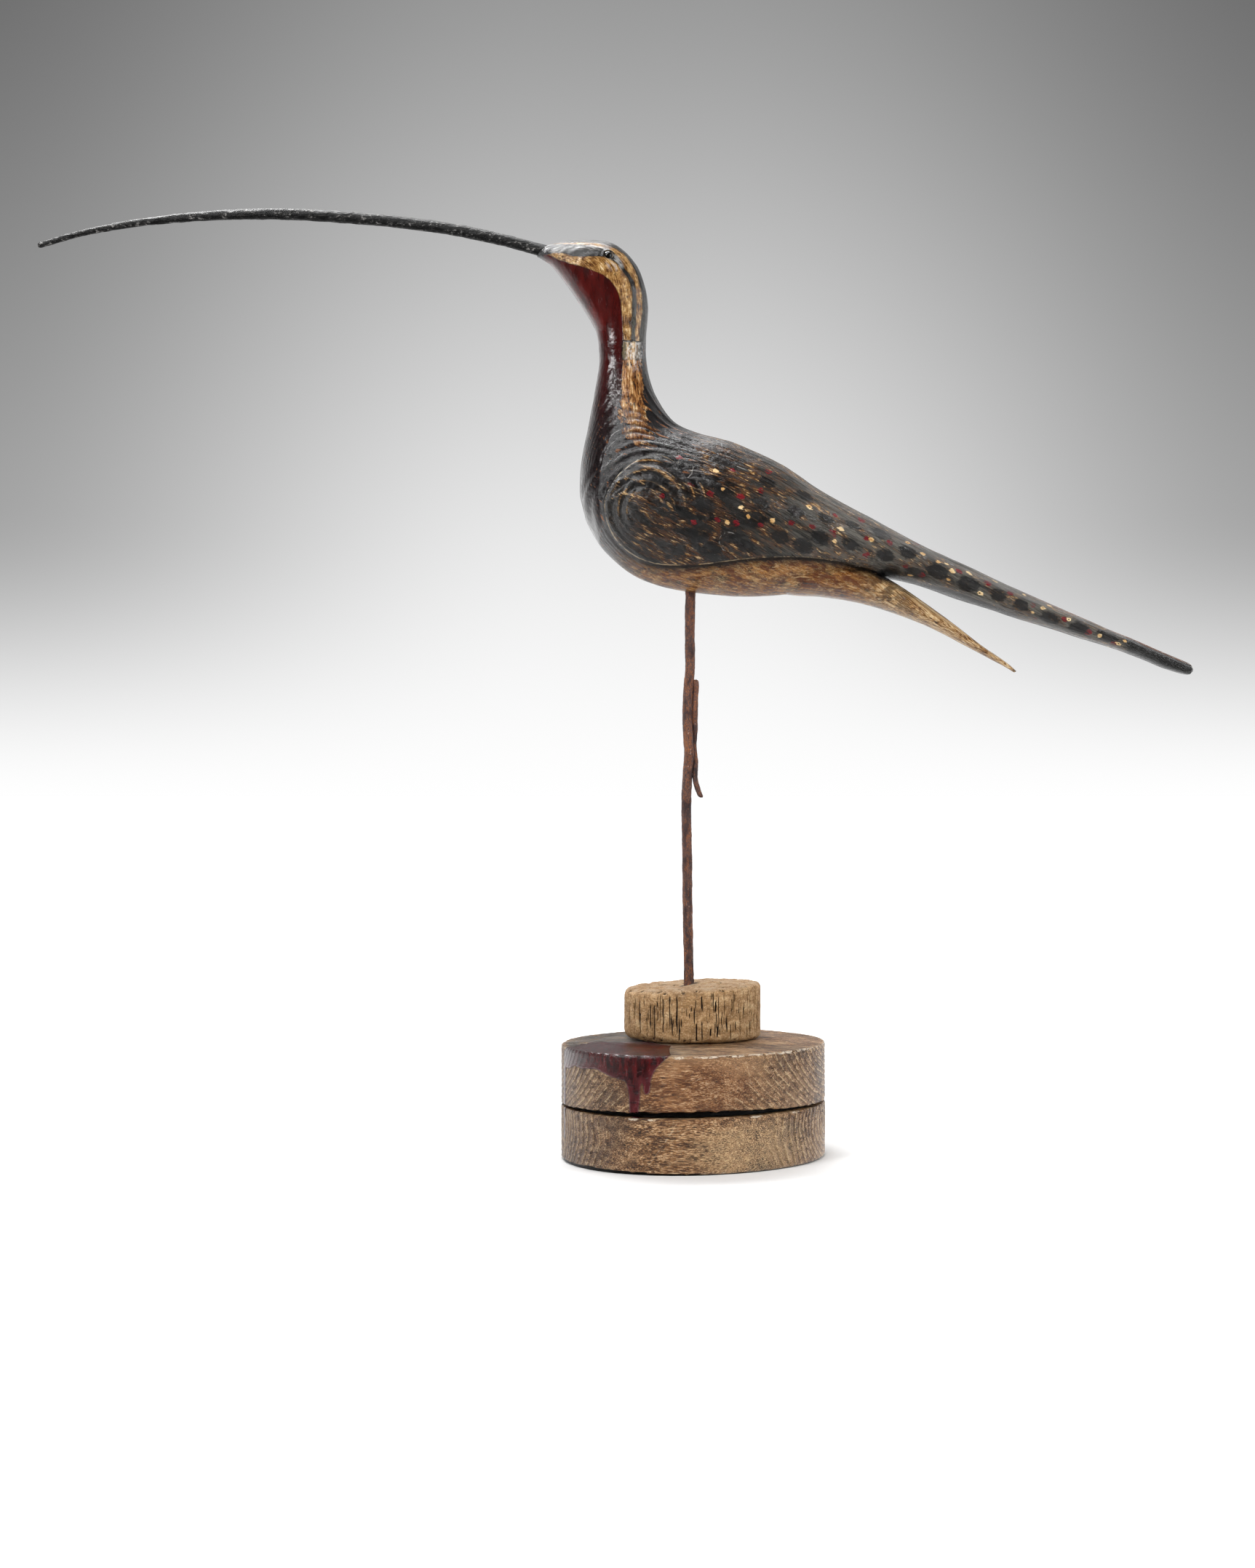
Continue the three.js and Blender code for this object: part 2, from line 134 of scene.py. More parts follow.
def even_shares(steps, spacing):
    """Shares that go along a line, known by the lengths of its fine steps, with a spacing that may change."""
    middle = np.linspace(0, 1, len(steps) + 1)
    gap = spacing(middle[:-1]) if callable(spacing) else spacing
    travelled = np.concatenate([[0], np.cumsum(steps / gap)])
    count = max(int(round(travelled[-1])), 2)
    return np.interp(np.linspace(0, travelled[-1], count + 1), travelled, middle)


def ease(value, low, high):
    """0 below low, 1 above high, and smooth between."""
    share = np.clip((np.asarray(value, float) - low) / (high - low), 0, 1)
    return share * share * (3 - 2 * share)


def lengths(vectors):
    return np.linalg.norm(vectors, axis=1)


def bump(value, middle, width):
    """A soft hump that is 1 at the middle."""
    return np.exp(-(((value - middle) / width) ** 2))


print("the curves' first point:", smooth_line([[0, 0, 0], [1, 0, 0], [1, 1, 0]], [0])[0])

# %% Noise, the same in every run
def noise(points, size, seed=0):
    """Smooth lumps from -1 to 1 at points. The size is how many mm they are apart, or three such numbers."""
    place = points / (np.asarray(size, float) * MM)
    cell = np.floor(place).astype(np.int64)
    share = place - cell
    share = share * share * (3 - 2 * share)
    total = np.zeros(len(points))
    for corner in product((0, 1), repeat=3):
        x, y, z = (cell + np.array(corner)).T
        mixed = (x * 73856093) ^ (y * 19349663) ^ (z * 83492791) ^ (seed * 40503 + 12345)
        mixed = ((mixed ^ (mixed >> 13)) * 1274126177) & 0xFFFFFFFF
        value = ((mixed ^ (mixed >> 16)) & 0xFFFF) / 32767.5 - 1
        total += value * np.prod(np.where(corner, share, 1 - share), axis=1)
    return total


def rough_noise(points, size, octaves=3, seed=0):
    """Lumps with finer lumps on them."""
    layers = [noise(points, np.asarray(size) / 2**step, seed + step) / 2**step for step in range(octaves)]
    return sum(layers) / sum(1 / 2**step for step in range(octaves))


print("noise at one point:", round(float(noise(np.array([[0.3, 0.2, 0.1]]), 1000)[0]), 4))

# %% Skins from rings
def turns(sides, start=0.0):
    """Even directions round a circle, in radians."""
    return start + 2 * math.pi * np.arange(sides) / sides


def skin_faces(ring_count, sides):
    """Quads between the rings, and a fan over each end ring round a point that is added after all others."""
    ring, side = np.meshgrid(np.arange(ring_count - 1), np.arange(sides), indexing="ij")
    after = (side + 1) % sides
    low, high = ring * sides, (ring + 1) * sides
    quads = np.stack([low + side, low + after, high + after, high + side], -1).reshape(-1, 4)
    last, middle = (ring_count - 1) * sides, ring_count * sides
    fans = []
    for start in range(sides):
        stop = (start + 1) % sides
        fans += [(middle, stop, start), (middle + 1, last + start, last + stop)]
    return quads.tolist() + fans


def new_object(name, points, faces):
    mesh = bpy.data.meshes.new(name)
    mesh.from_pydata(np.asarray(points).tolist(), [], faces)
    mesh.update()
    made = bpy.data.objects.new(name, mesh)
    bpy.context.scene.collection.objects.link(made)
    return made


def points_of(made, kind="co"):
    values = np.empty(len(made.data.vertices) * 3)
    made.data.vertices.foreach_get(kind, values)
    return values.reshape(-1, 3)


def normals_of(made):
    return points_of(made, "normal")


def move_points(made, points):
    made.data.vertices.foreach_set("co", np.asarray(points, float).ravel())
    made.data.update()


def facing_out(made):
    """Turns the faces over if the skin was wound inside out."""
    made.data.calc_loop_triangles()
    corners = np.empty(len(made.data.loop_triangles) * 3, int)
    made.data.loop_triangles.foreach_get("vertices", corners)
    a, b, c = points_of(made)[corners.reshape(-1, 3).T]
    if np.einsum("ij,ij->i", a, np.cross(b, c)).sum() < 0:
        made.data.flip_normals()
        made.data.update()
    return made


def skin(name, rings):
    """A closed object over rings, given as an array of rings by points by three."""
    rings = np.asarray(rings, float)
    middles = [rings[0].mean(axis=0), rings[-1].mean(axis=0)]
    points = np.vstack([rings.reshape(-1, 3), middles])
    return facing_out(new_object(name, points, skin_faces(len(rings), rings.shape[1])))


def keep(made, **values):
    """Stores numbers or vectors at each point, for the material to read."""
    for name, each in values.items():
        kind, field = ("FLOAT_VECTOR", "vector") if np.ndim(each) > 1 else ("FLOAT", "value")
        values = made.data.attributes.new(name, kind, "POINT").data
        values.foreach_set(field, np.asarray(each, np.float32).ravel())


def finish_piece(made, node, sharp_angle=None):
    """Smooth shading, and the piece takes its solid's place."""
    made.data.shade_smooth()
    if sharp_angle:
        made.data.set_sharp_from_angle(angle=math.radians(sharp_angle))
    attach(made, "root")
    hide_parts(node)
    size = [round(value * 1000, 1) for value in made.dimensions]
    low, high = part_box(node)
    solid = [round(value * 1000, 1) for value in high - low]
    triangles = sum(len(face.vertices) - 2 for face in made.data.polygons)
    print(f"{made.name}: {triangles} triangles, {size} mm, its solid {solid} mm")


print("directions of a square:", turns(4).round(3))

# %% [markdown]
# ## The two oak blocks
#
# The blocks are two slices of one plank, turned round and since shrunk out of round. The year rings run
# through them lengthwise, so they show as long ridges on top, as nested arcs at both ends and hardly at all
# in front. One number at each point, its distance from the plank's pith counted in rings, gives all of that
# at once. The mesh carries the ridges for real, and the material reads the same number for its colours.

# %% Sizes of the blocks, taken from their solids
block_middle = np.array([2.9, -4.0]) * MM
block_diameter = 153.6 * MM
block_oval = 0.085
long_way = math.radians(30)
hole_radius = 3.45 * MM
lower_bottom, lower_top = (corner.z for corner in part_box("lower_disc"))
upper_bottom, upper_top = (corner.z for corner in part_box("upper_disc"))
crown = 2.4 * MM  # how far the top rises from its rim to the float
rim_top = upper_top - crown
cork_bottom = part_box("cork_float")[0].z
hole_floor = upper_top - 26.3 * MM
print("lower block", lower_bottom, lower_top, "upper block", upper_bottom, upper_top)


def block_radius(angle):
    return block_diameter / 2 * (1 + block_oval * np.cos(2 * (angle - long_way)))


def rim_travel(angle):
    """How far round the rim a direction is from the front of the block, in metres."""
    fine = np.linspace(-2 * math.pi, 2 * math.pi, 4001)
    rim = np.stack([block_radius(fine) * np.cos(fine), block_radius(fine) * np.sin(fine)], 1)
    travelled = np.concatenate([[0], np.cumsum(lengths(np.diff(rim, axis=0)))])
    front = np.interp(-math.pi / 2, fine, travelled)
    return np.interp(angle, fine, travelled) - front


# %% Rings of a turned piece
def turned_rings(middle, angle, radius, rows):
    """Rings from rows of (share inward to the rod's hole, inset from the rim, height)."""
    outward = np.stack([np.cos(angle), np.sin(angle)], 1)
    rings = []
    for inward, inset, height in rows:
        rim = middle + (radius - inset)[:, None] * outward
        place = rim * (1 - inward) + hole_radius * outward * inward
        rings.append(np.column_stack([place, height + 0 * angle]))
    return np.array(rings)


def round_over(radius, height, direction, steps=4):
    """Rows for a worn edge: from the side to the face above it, or below it where direction is -1."""
    angle = np.linspace(0, math.pi / 2, steps)
    return [(0, radius * (1 - math.cos(a)), height - direction * radius * (1 - math.sin(a))) for a in angle]


def side_rows(bottom, top, spacing):
    return [(0, 0, height) for height in np.linspace(bottom, top, int((top - bottom) / spacing))]


def face_rows(height, rise, start_inset, spacing):
    """Rows from the rim inward over a face that rises towards the float."""
    flat_from = 0.42  # share of the way in where the float's seat starts
    shares = np.linspace(0, 1, int(block_diameter / 2 / spacing))[1:]
    return [(share, start_inset * (1 - share), height + rise * min(share / flat_from, 1)) for share in shares]


def block_directions(points):
    """The direction round the block, and the height of the unrolled surface: up the side, then inward."""
    offset = points[:, :2] - block_middle
    angle = np.arctan2(offset[:, 1], offset[:, 0])
    angle = np.where(angle > math.radians(90), angle - 2 * math.pi, angle)
    inward = np.maximum(block_radius(angle) - lengths(offset), 0)
    return angle, inward


# %% The year rings of the plank, and what the blocks' surfaces do with them
ring_spacing = 3.3 * MM


def year_rings(points, pith):
    """Distance from the pith, counted in rings. The pith is a line along X at a given Y and Z."""
    wander = rough_noise(points, (70, 16, 16), 3, seed=5) * 1.6 * MM
    distance = np.hypot(points[:, 1] - pith[0], points[:, 2] - pith[1]) + wander
    uneven = noise(points, (400, 9, 9), seed=8) * 0.25
    return distance / ring_spacing + uneven


def ring_gap(points, normals, pith):
    """How far apart the rings come out on the surface: widely where it lies along them, as in front."""
    away = points[:, 1:] - pith
    away /= lengths(away)[:, None]
    slope = np.sqrt(np.maximum(1 - np.einsum("ij,ij->i", away, normals[:, 1:]) ** 2, 0.01))
    return ring_spacing / slope


def ridge_profile(rings):
    """Each ring climbs slowly through the soft early wood and falls away after the hard late wood."""
    share = rings - np.floor(rings)
    return ease(share, 0.0, 0.72) * (1 - ease(share, 0.8, 1.0))


def chip_away(points, chips, rim_height):
    """How much of the edge is broken off at each point: chips are (direction in degrees, width, depth)."""
    angle, inward = block_directions(points)
    travel = rim_travel(angle)
    lost = np.zeros(len(points))
    for direction, width, depth in chips:
        along = travel - rim_travel(np.array([math.radians(direction)]))[0]
        away = np.hypot(along / (width * MM), np.hypot(inward, points[:, 2] - rim_height) / (2.2 * MM))
        lost = np.maximum(lost, depth * MM * (1 - ease(away, 0.25, 1.0)))
    return lost


print("year ring ridge at share 0.7:", round(float(ridge_profile(np.array([0.7]))[0]), 3))

# %% Distances to painted outlines
def signed_distance(places, outline, closed=True):
    """Distance from 2D places to an outline, above zero inside it."""
    outline = np.asarray(outline, float)
    nearest = np.full(len(places), np.inf)
    inside = np.zeros(len(places), bool)
    for step, (start, stop) in enumerate(zip(outline, np.roll(outline, -1, axis=0)), 1):
        edge = stop - start
        if closed or step < len(outline):
            share = np.clip(((places - start) @ edge) / max(edge @ edge, 1e-18), 0, 1)
            gap = places - start - share[:, None] * edge
            nearest = np.minimum(nearest, np.einsum("ij,ij->i", gap, gap))
        crosses = (start[1] > places[:, 1]) != (stop[1] > places[:, 1])
        reach = start[0] + (places[:, 1] - start[1]) * edge[0] / (edge[1] or 1e-12)
        inside ^= crosses & (places[:, 0] < reach)
    return np.where(inside, 1, -1) * np.sqrt(nearest)


# %% [markdown]
# The spilt paint ran over the front left of the upper block and down its side in two drips, and a thin run
# went down the far left over both blocks. Its outline is drawn on the unrolled surface: the first number
# goes round the rim from the front, the second up the side and then inward over the top, both in
# millimetres.

# %% Where the spilt paint lies
spill_outline = [
    (-101, 57), (-90, 57.5), (-83, 60), (-76, 59), (-65, 60.1), (-60, 59), (-56, 57.6), (-51, 55.7),
    (-46, 55), (-42.6, 54), (-40.8, 50), (-40.2, 42), (-39.8, 36), (-38.6, 34.4), (-36, 34.4), (-34.6, 36),
    (-34, 44), (-33.4, 51.5), (-32.6, 53.9), (-31.7, 52.6), (-31.4, 48.8), (-30.4, 47.2), (-28.9, 47.2),
    (-27.9, 48.9), (-27.3, 55), (-25.6, 60), (-22.5, 64), (-18, 68.6), (-16.5, 74), (-21, 88), (-27, 107),
    (-73, 122), (-107, 90), (-98, 76), (-100, 69),
]
run_outline = [(-101.6, 60), (-96.6, 60), (-97.4, 46), (-97.8, 30), (-98.3, 15), (-100, 13.6), (-101.4, 16)]


def unrolled(points, angle, inward):
    return np.column_stack([rim_travel(angle), points[:, 2] + inward]) / MM


def paint_distance(points):
    """Signed distance to the paint's edge in metres, above zero where there is paint."""
    angle, inward = block_directions(points)
    wobble = rough_noise(points, 5, 2, seed=31) * 0.35
    flat = unrolled(points, angle, inward)
    spill = signed_distance(flat, spill_outline)
    run = signed_distance(flat, run_outline)
    return (np.maximum(spill, run) + wobble) * MM


print("paint at the middle of the spill, mm:", paint_distance(np.array([[-0.045, -0.068, 0.066]])) / MM)

# %% [markdown]
# The surface of each block is built from rows of rings, then pushed in and out: the year rings stand up as
# ridges, the edges are worn and chipped, and the paint lies a third of a millimetre thick. The joint
# between the blocks gapes at the front, where both edges are worn back.

# %% Make a block
def turned_block(name, profile):
    """A block from rows of (share inward, inset, height)."""
    angle = turns(640, -1.5 * math.pi)
    return skin(name, turned_rings(block_middle, angle, block_radius(angle), profile))


def front_share(angle, middle_degrees, width_degrees):
    """1 in a direction round the block, down to 0 at so many degrees from it."""
    turn = np.abs((np.degrees(angle) - middle_degrees + 180) % 360 - 180)
    return 1 - ease(turn, 0, width_degrees)


def scratch_distance(points, lines):
    """Distance in millimetres to the nearest of some lines drawn on the unrolled surface."""
    flat = unrolled(points, *block_directions(points))
    return np.min([np.abs(signed_distance(flat, line, closed=False)) for line in lines], axis=0)


def dress_block(made, pith, chips, rim_height, gap, relief, scratches):
    """Moves the points of a block. The gap is (height, front direction, width, rise, depth)."""
    points, normals = points_of(made), normals_of(made)
    angle, inward = block_directions(points)
    on_top = ease(normals[:, 2], 0.5, 0.9)
    rings = year_rings(points, pith)
    ridge = ridge_profile(rings)
    fibre = noise(points, (26, 1.7, 1.7), seed=12)
    lumps = rough_noise(points, 22, 2, seed=4)
    paint = paint_distance(points)
    covered = ease(paint, -0.1 * MM, 0.25 * MM)
    spread = ring_gap(points, normals, pith)
    calm = relief(points, on_top) * (1 - 0.55 * covered)
    calm *= 0.25 + 0.75 * (1 - ease(spread, 1.3 * ring_spacing, 2.2 * ring_spacing))
    seat = ease(inward, 22 * MM, 30 * MM) * on_top  # flat under the float
    under = normals[:, 2] < -0.5
    move = (0.34 * (ridge - 0.5) + 0.1 * fibre) * calm + 0.22 * lumps
    move = (move + 0.3 * covered + 0.12 * bump(paint, 0.4 * MM, 0.5 * MM)) * MM * (1 - seat)
    move[under] = np.minimum(move[under], 0)
    move -= 0.35 * MM * (1 - on_top)  # so that no ridge stands outside the solid
    chipped = chip_away(points, chips, rim_height)
    move -= chipped * (0.6 + 0.6 * rough_noise(points, 1.6, 2, seed=9))
    edge_height, middle, width, rise, depth = gap
    worn = rise * MM * (0.25 + 0.75 * front_share(angle, middle, width))
    worn *= 1 + 0.25 * noise(points, 3.5, seed=17)
    opened = 1 - ease(points[:, 2] - edge_height, worn * 0.8, worn * 1.15)
    opened *= 1 - ease(inward, 3 * MM, 8 * MM)
    points[:, :2] -= normals[:, :2] * (opened * depth * MM)[:, None]
    points = points + normals * (move * (1 - opened))[:, None]
    points[:, 2] = np.maximum(points[:, 2], lower_bottom)
    move_points(made, points)
    keep(made, rings=rings, paint=paint / MM, opened=opened, calm=calm, inward=inward / MM,
         spread=spread / MM, chipped=chipped / MM, scratch=scratch_distance(points, scratches))


def lower_block():
    edge = 1.4 * MM
    profile = [(share, 0, lower_bottom) for share in np.linspace(1, 0.06, 16)]
    profile += round_over(edge, lower_bottom, -1)[::-1]
    profile += side_rows(lower_bottom + edge + 0.7 * MM, lower_top - edge - 0.7 * MM, 0.68 * MM)
    profile += round_over(edge, lower_top, 1)
    profile += [(share, 0, lower_top) for share in np.linspace(0.06, 1, 16)]
    made = turned_block("lower_oak_block", profile)
    gap = (lower_bottom, -140, 65, 2.0, 2.6)
    chips = [(-118, 5, 0.9), (-110, 4, 0.8), (-60, 9, 0.5), (-35, 7, 0.6)]
    scratches = [[(-30, 4), (-12, 31)], [(-46, 9), (-38, 20)], [(-23, 14), (-14, 27)], [(53, 22), (66, 4)],
                 [(88, 8), (73, 24)], [(36, 30), (42, 17)]]
    dress_block(made, (-8 * MM, 23 * MM), chips, lower_top, gap, lambda points, on_top: 1.0, scratches)
    finish_piece(made, "lower_disc", 50)
    return made


def upper_relief(points, on_top):
    """The right front of the top was rubbed smooth. Its left and back keep their furrows."""
    smooth_part = ease(points[:, 0] - 0.5 * points[:, 1], 5 * MM, 45 * MM)
    return 1 + on_top * (1.1 - 1.7 * smooth_part)


def upper_block():
    edge = 1.4 * MM
    profile = [(share, 2.4 * MM, upper_bottom) for share in np.linspace(1, 0.04, 12)]
    profile += side_rows(upper_bottom + 0.3 * MM, rim_top - edge - 0.7 * MM, 0.62 * MM)
    profile += round_over(edge, rim_top, 1)
    profile += face_rows(rim_top, crown, edge, 1.35 * MM)
    profile += [(1, 0, height) for height in np.linspace(upper_top - 2 * MM, hole_floor, 8)]
    made = turned_block("upper_oak_block", profile)
    gap = (upper_bottom, -88, 95, 3.3, 4.5)
    chips = [(-37, 9, 1.5), (-45, 5, 0.9), (-97, 9, 1.3), (-104, 5, 0.7), (-85, 12, 0.6), (-70, 8, 0.7),
             (-57, 10, 0.6), (-25, 8, 0.8), (-160, 6, 0.7), (40, 10, 0.8), (95, 12, 0.7), (150, 9, 0.9)]
    scratches = [[(22, 64), (45, 40), (56, 37)], [(44, 62), (60, 45), (72, 38)], [(30, 66), (34, 52)],
                 [(-9, 50), (2, 57)]]
    dress_block(made, (-5 * MM, 85 * MM), chips, rim_top, gap, upper_relief, scratches)
    finish_piece(made, "upper_disc", 50)
    return made


lower_oak_block = lower_block()
upper_oak_block = upper_block()

# %% [markdown]
# ## The cork float and the iron
#
# The float was cut from cork bark: it crumbles at its edges and is split by hundreds of narrow upright
# fissures. They are real cuts in the mesh. Each fissure is a place round the float, a height, a length, a
# width and a depth, drawn from a seeded list, and most of them stand left of the front as on the real
# float.

# %% Sizes of the float, taken from its solid
float_low, float_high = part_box("cork_float")
float_middle = np.array([2.1, 0]) * MM
float_diameter = 82 * MM
float_oval = 0.03
float_tilt = 2.8 * MM  # how much higher the top is on the right
float_thickness = float_high.z - float_low.z - float_tilt / 2
float_edges = (5.5 * MM, 3 * MM)  # the rounding on the left and on the right
float_sides = 620


def float_rings():
    angle = turns(float_sides, -1.5 * math.pi)
    radius = float_diameter / 2 * (1 + float_oval * np.cos(2 * (angle - long_way)))
    right = (1 + np.cos(angle)) / 2
    edge = float_edges[0] * (1 - right) + float_edges[1] * right
    low, high = float_low.z, float_low.z + float_thickness + float_tilt * (right - 0.5)
    rows = [(share, edge, low) for share in np.linspace(1, 0.04, 14)]
    rows += round_over(edge, low, -1, 9)[:0:-1]
    rows += [(0, 0, (low + edge) * (1 - share) + (high - edge) * share) for share in np.linspace(0, 1, 46)]
    rows += round_over(edge, high, 1, 10)[1:]
    rows += [(share, edge, high) for share in np.linspace(0, 1, 46)[1:]]
    rows += [(1, 0, height) for height in np.linspace(low + float_thickness - 1.5 * MM, low + 2 * MM, 6)]
    return turned_rings(float_middle, angle, radius, rows)


def make_fissures(count, seed):
    """Rows of (travel round the float from its front, height, half length, half width, depth) in metres."""
    draw = np.random.default_rng(seed)
    reach = math.pi * float_diameter / 2
    travel = draw.uniform(-reach, reach, count)
    crowded = draw.random(count) < 0.12
    travel[crowded] = draw.normal(-34 * MM, 12 * MM, crowded.sum())
    height = draw.uniform(float_low.z + 3 * MM, float_high.z - 3 * MM, count)
    half_length = draw.lognormal(math.log(4.0), 0.7, count) * MM
    half_width = draw.uniform(0.13, 0.3, count) * MM
    depth = draw.uniform(0.5, 2.0, count) * MM
    return np.stack([travel, height, np.minimum(half_length, 12 * MM), half_width, depth], 1)


def cut_fissures(points, travel, fissures):
    """How deep the surface is cut at each point."""
    depth = np.zeros(len(points))
    sway = noise(points, 5, seed=3) * 0.25 * MM
    for middle, height, half_length, half_width, deep in fissures:
        along = (points[:, 2] - height) / half_length
        across = (travel + sway - middle) / half_width
        near = (np.abs(along) < 1) & (np.abs(across) < 1.6)
        shape = (1 - along[near] ** 2) ** 0.5 * (1 - ease(np.abs(across[near]), 0.35, 1.6))
        depth[near] = np.maximum(depth[near], deep * shape)
    return depth


def cork_float():
    made = skin("cork_net_float", float_rings())
    points, normals = points_of(made), normals_of(made)
    offset = points[:, :2] - float_middle
    angle = np.arctan2(offset[:, 1], offset[:, 0])
    angle = np.where(angle > math.pi / 2, angle - 2 * math.pi, angle)
    travel = (angle + math.pi / 2) * float_diameter / 2
    from_axis = lengths(points[:, :2])
    on_side = 1 - ease(np.abs(normals[:, 2]), 0.35, 0.8)
    cut = cut_fissures(points, travel, make_fissures(300, seed=27)) * on_side
    pits = ease(rough_noise(points, 2.2, 2, seed=7), 0.22, 0.6) * 1.1 * MM
    crumble = 1 - bump(on_side, 1.0, 0.55)
    top = ease(normals[:, 2], 0.5, 0.9)
    furrow = ease(noise(points, (9, 1.6, 3), seed=44), 0.25, 0.75) * top * 0.9 * MM
    open_face = ease(from_axis, hole_radius + 0.5 * MM, hole_radius + 4 * MM)
    lumps = rough_noise(points, 6, 3, seed=2) * (0.30 + 0.45 * crumble) * MM
    grit = noise(points, 1.1, seed=6) * 0.12 * MM
    move = lumps + grit - cut - (pits * (0.25 + 0.75 * crumble) + furrow) * open_face
    resting = normals[:, 2] < -0.7
    move[resting] = np.minimum(move[resting], 0)
    points += normals * move[:, None]
    points[:, 2] = np.maximum(points[:, 2], float_low.z)
    move_points(made, points)
    keep(made, cut=(cut + pits * (0.3 + 0.7 * crumble) + furrow) / MM, top=top)
    finish_piece(made, "cork_float")
    return made


cork_net_float = cork_float()

# %% [markdown]
# The rod is a plain iron bar, a little bent, and rusted into a pitted skin. A thinner spur of iron lies
# against its right side, slips behind it and ends standing off it. Both are rings along a line, which the
# rust dents.

# %% The rod and its spur
rod_low, rod_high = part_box("leg_rod")
rod_diameter = 6.3 * MM
rod_lean = 0.85 * MM
float_top = cork_bottom + 32 * MM
rod_free_length = 239.7 * MM
belly_height = float_top + rod_free_length
rod_bends = [
    (0, 0), (0.1, -0.5), (0.21, -1.1), (0.32, -1.4), (0.47, -2), (0.54, -1.3), (0.59, -0.5), (0.63, -1),
    (0.68, -1.5), (0.745, -1.1), (0.81, 0), (0.9, -0.3), (1, 0),
]  # share of the free length from the float up, and the offset along X in millimetres


def rod_middle(heights):
    share = np.clip((np.asarray(heights) - float_top) / rod_free_length, 0, 1)
    knots = np.array([place for place, _ in rod_bends])
    steps = np.interp(share, knots, np.linspace(0, 1, len(knots)))
    offset = smooth_line(rod_bends, steps)[:, 1] * MM
    return np.column_stack([rod_lean * share + offset, 0 * share, heights])


def level_rings(middles, radii, sides):
    angle = turns(sides)
    circle = np.stack([np.cos(angle), np.sin(angle), 0 * angle], 1)
    return middles[:, None, :] + np.asarray(radii)[:, None, None] * circle[None]


def rust(made, node, pit_depth, limit_low, limit_high):
    """Dents a bar with rust pits and flakes."""
    points, normals = points_of(made), normals_of(made)
    flakes = ease(rough_noise(points, (2.6, 2.6, 5), 3, seed=15), -0.05, 0.35)
    grit = noise(points, 0.8, seed=16)
    shown = ease(points[:, 2], limit_low, limit_low + 1 * MM) * (
        1 - ease(points[:, 2], limit_high - 1 * MM, limit_high)
    )
    move = (flakes * 0.8 - 0.8 + 0.25 * grit) * pit_depth * shown
    move_points(made, points + normals * move[:, None])
    keep(made, flakes=flakes)
    finish_piece(made, node, 60)
    return made


def leg_rod():
    heights = np.linspace(rod_low.z, rod_high.z, 620)
    rings = level_rings(rod_middle(heights), np.full(len(heights), rod_diameter / 2), 30)
    return rust(skin("iron_rod", rings), "leg_rod", 0.22 * MM, float_top + 1 * MM, belly_height - 0.5 * MM)


def leg_spur():
    diameter, length, top = 3.6 * MM, 72.5 * MM, belly_height - 53 * MM
    slip_middle, slip_reach, flare_start = 0.57, 0.27, 0.82
    share = np.linspace(0, 1, 150)
    middles = rod_middle(top - length * share)
    slip = np.radians(45) * (1 - ease(np.abs(share - slip_middle), 0, slip_reach))
    flare = np.maximum(0, (share - flare_start) / (1 - flare_start)) ** 1.4
    snug = 0.85 * MM * (1 - np.clip(share * length / (4 * MM), 0, 1)) ** 2  # the top leans against the rod
    reach = (rod_diameter + diameter) / 2 - 0.34 * MM - snug + 4.5 * MM * flare
    middles[:, 0] += reach * np.cos(slip)
    middles[:, 1] += reach * np.sin(slip)
    end = np.minimum(share, 1 - share) * length / (diameter * 0.45)
    radii = diameter / 2 * np.sqrt(1 - 0.75 * (1 - np.clip(end, 0, 1)) ** 2)
    made = skin("iron_spur", level_rings(middles, radii, 22))
    low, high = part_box("leg_spur")
    return rust(made, "leg_spur", 0.2 * MM, low.z - 2 * MM, high.z + 2 * MM)


iron_rod = leg_rod()
iron_spur = leg_spur()

# %% [markdown]
# ## The carved bird
#
# The body is a row of sections between an underside line and a back line, like the bulkheads of a boat. The
# same stations give the solid its form, so the fine body fits it exactly. The spike under the tail is a
# second row of sections, joined on with a boolean, and the rod's hole is cut in the same way. Values that
# are kept at the points before a boolean come through it, which is how each point still knows where it lies
# on the bird.

# %% Stations of the body, in thousandths of its length from where the rod enters the belly
body_length = 375 * MM
rod_entry = np.array([rod_lean, 0, belly_height])
body_stations = [  # underside x and z, back x and z, half the width
    (-164, 285, -56, 320, 50), (-179, 202, -25, 278, 73), (-176, 134, 13, 259, 90), (-141, 69, 49, 250, 100),
    (-70, 18, 89, 236, 104), (43, -4, 150, 207, 101), (162, -2, 215, 164, 92), (274, 25, 305, 115, 76),
    (357, 17, 381, 75, 64), (440, -11, 461, 39, 54), (535, -41, 553, -4, 44), (701, -94, 716, -74, 25),
    (773, -123, 790, -105, 17), (809, -134, 815, -116, 12), (817, -131, 819, -122, 6),
]
neck_top_station = (-149, 368, -70, 368, 36)
spike_stations = [
    (61, 18, 120, 59, 62), (114, 4, 167, 57, 66), (167, -4, 221, 56, 66), (215, -7, 262, 46, 61),
    (286, -19, 315, 26, 53), (381, -52, 405, -34, 36), (464, -95, 474, -85, 19), (509, -119, 515, -114, 9),
    (528, -130, 531, -128, 3),
]
seam_middle = rod_entry + np.array([-111, 0, 405]) * body_length / 1000
neck_depth, neck_width = 29 * MM, 26.4 * MM
seam_gap = 0.3 * MM


def station_rows(stations, length, origin):
    rows = np.array(stations, float) * length / 1000
    rows[:, [0, 2]] += origin[0]
    rows[:, [1, 3]] += origin[2]
    return rows


def neck_row(height):
    low, high = seam_middle[0] - neck_depth / 2, seam_middle[0] + neck_depth / 2
    return np.array([[low, height, high, height, neck_width / 2]])


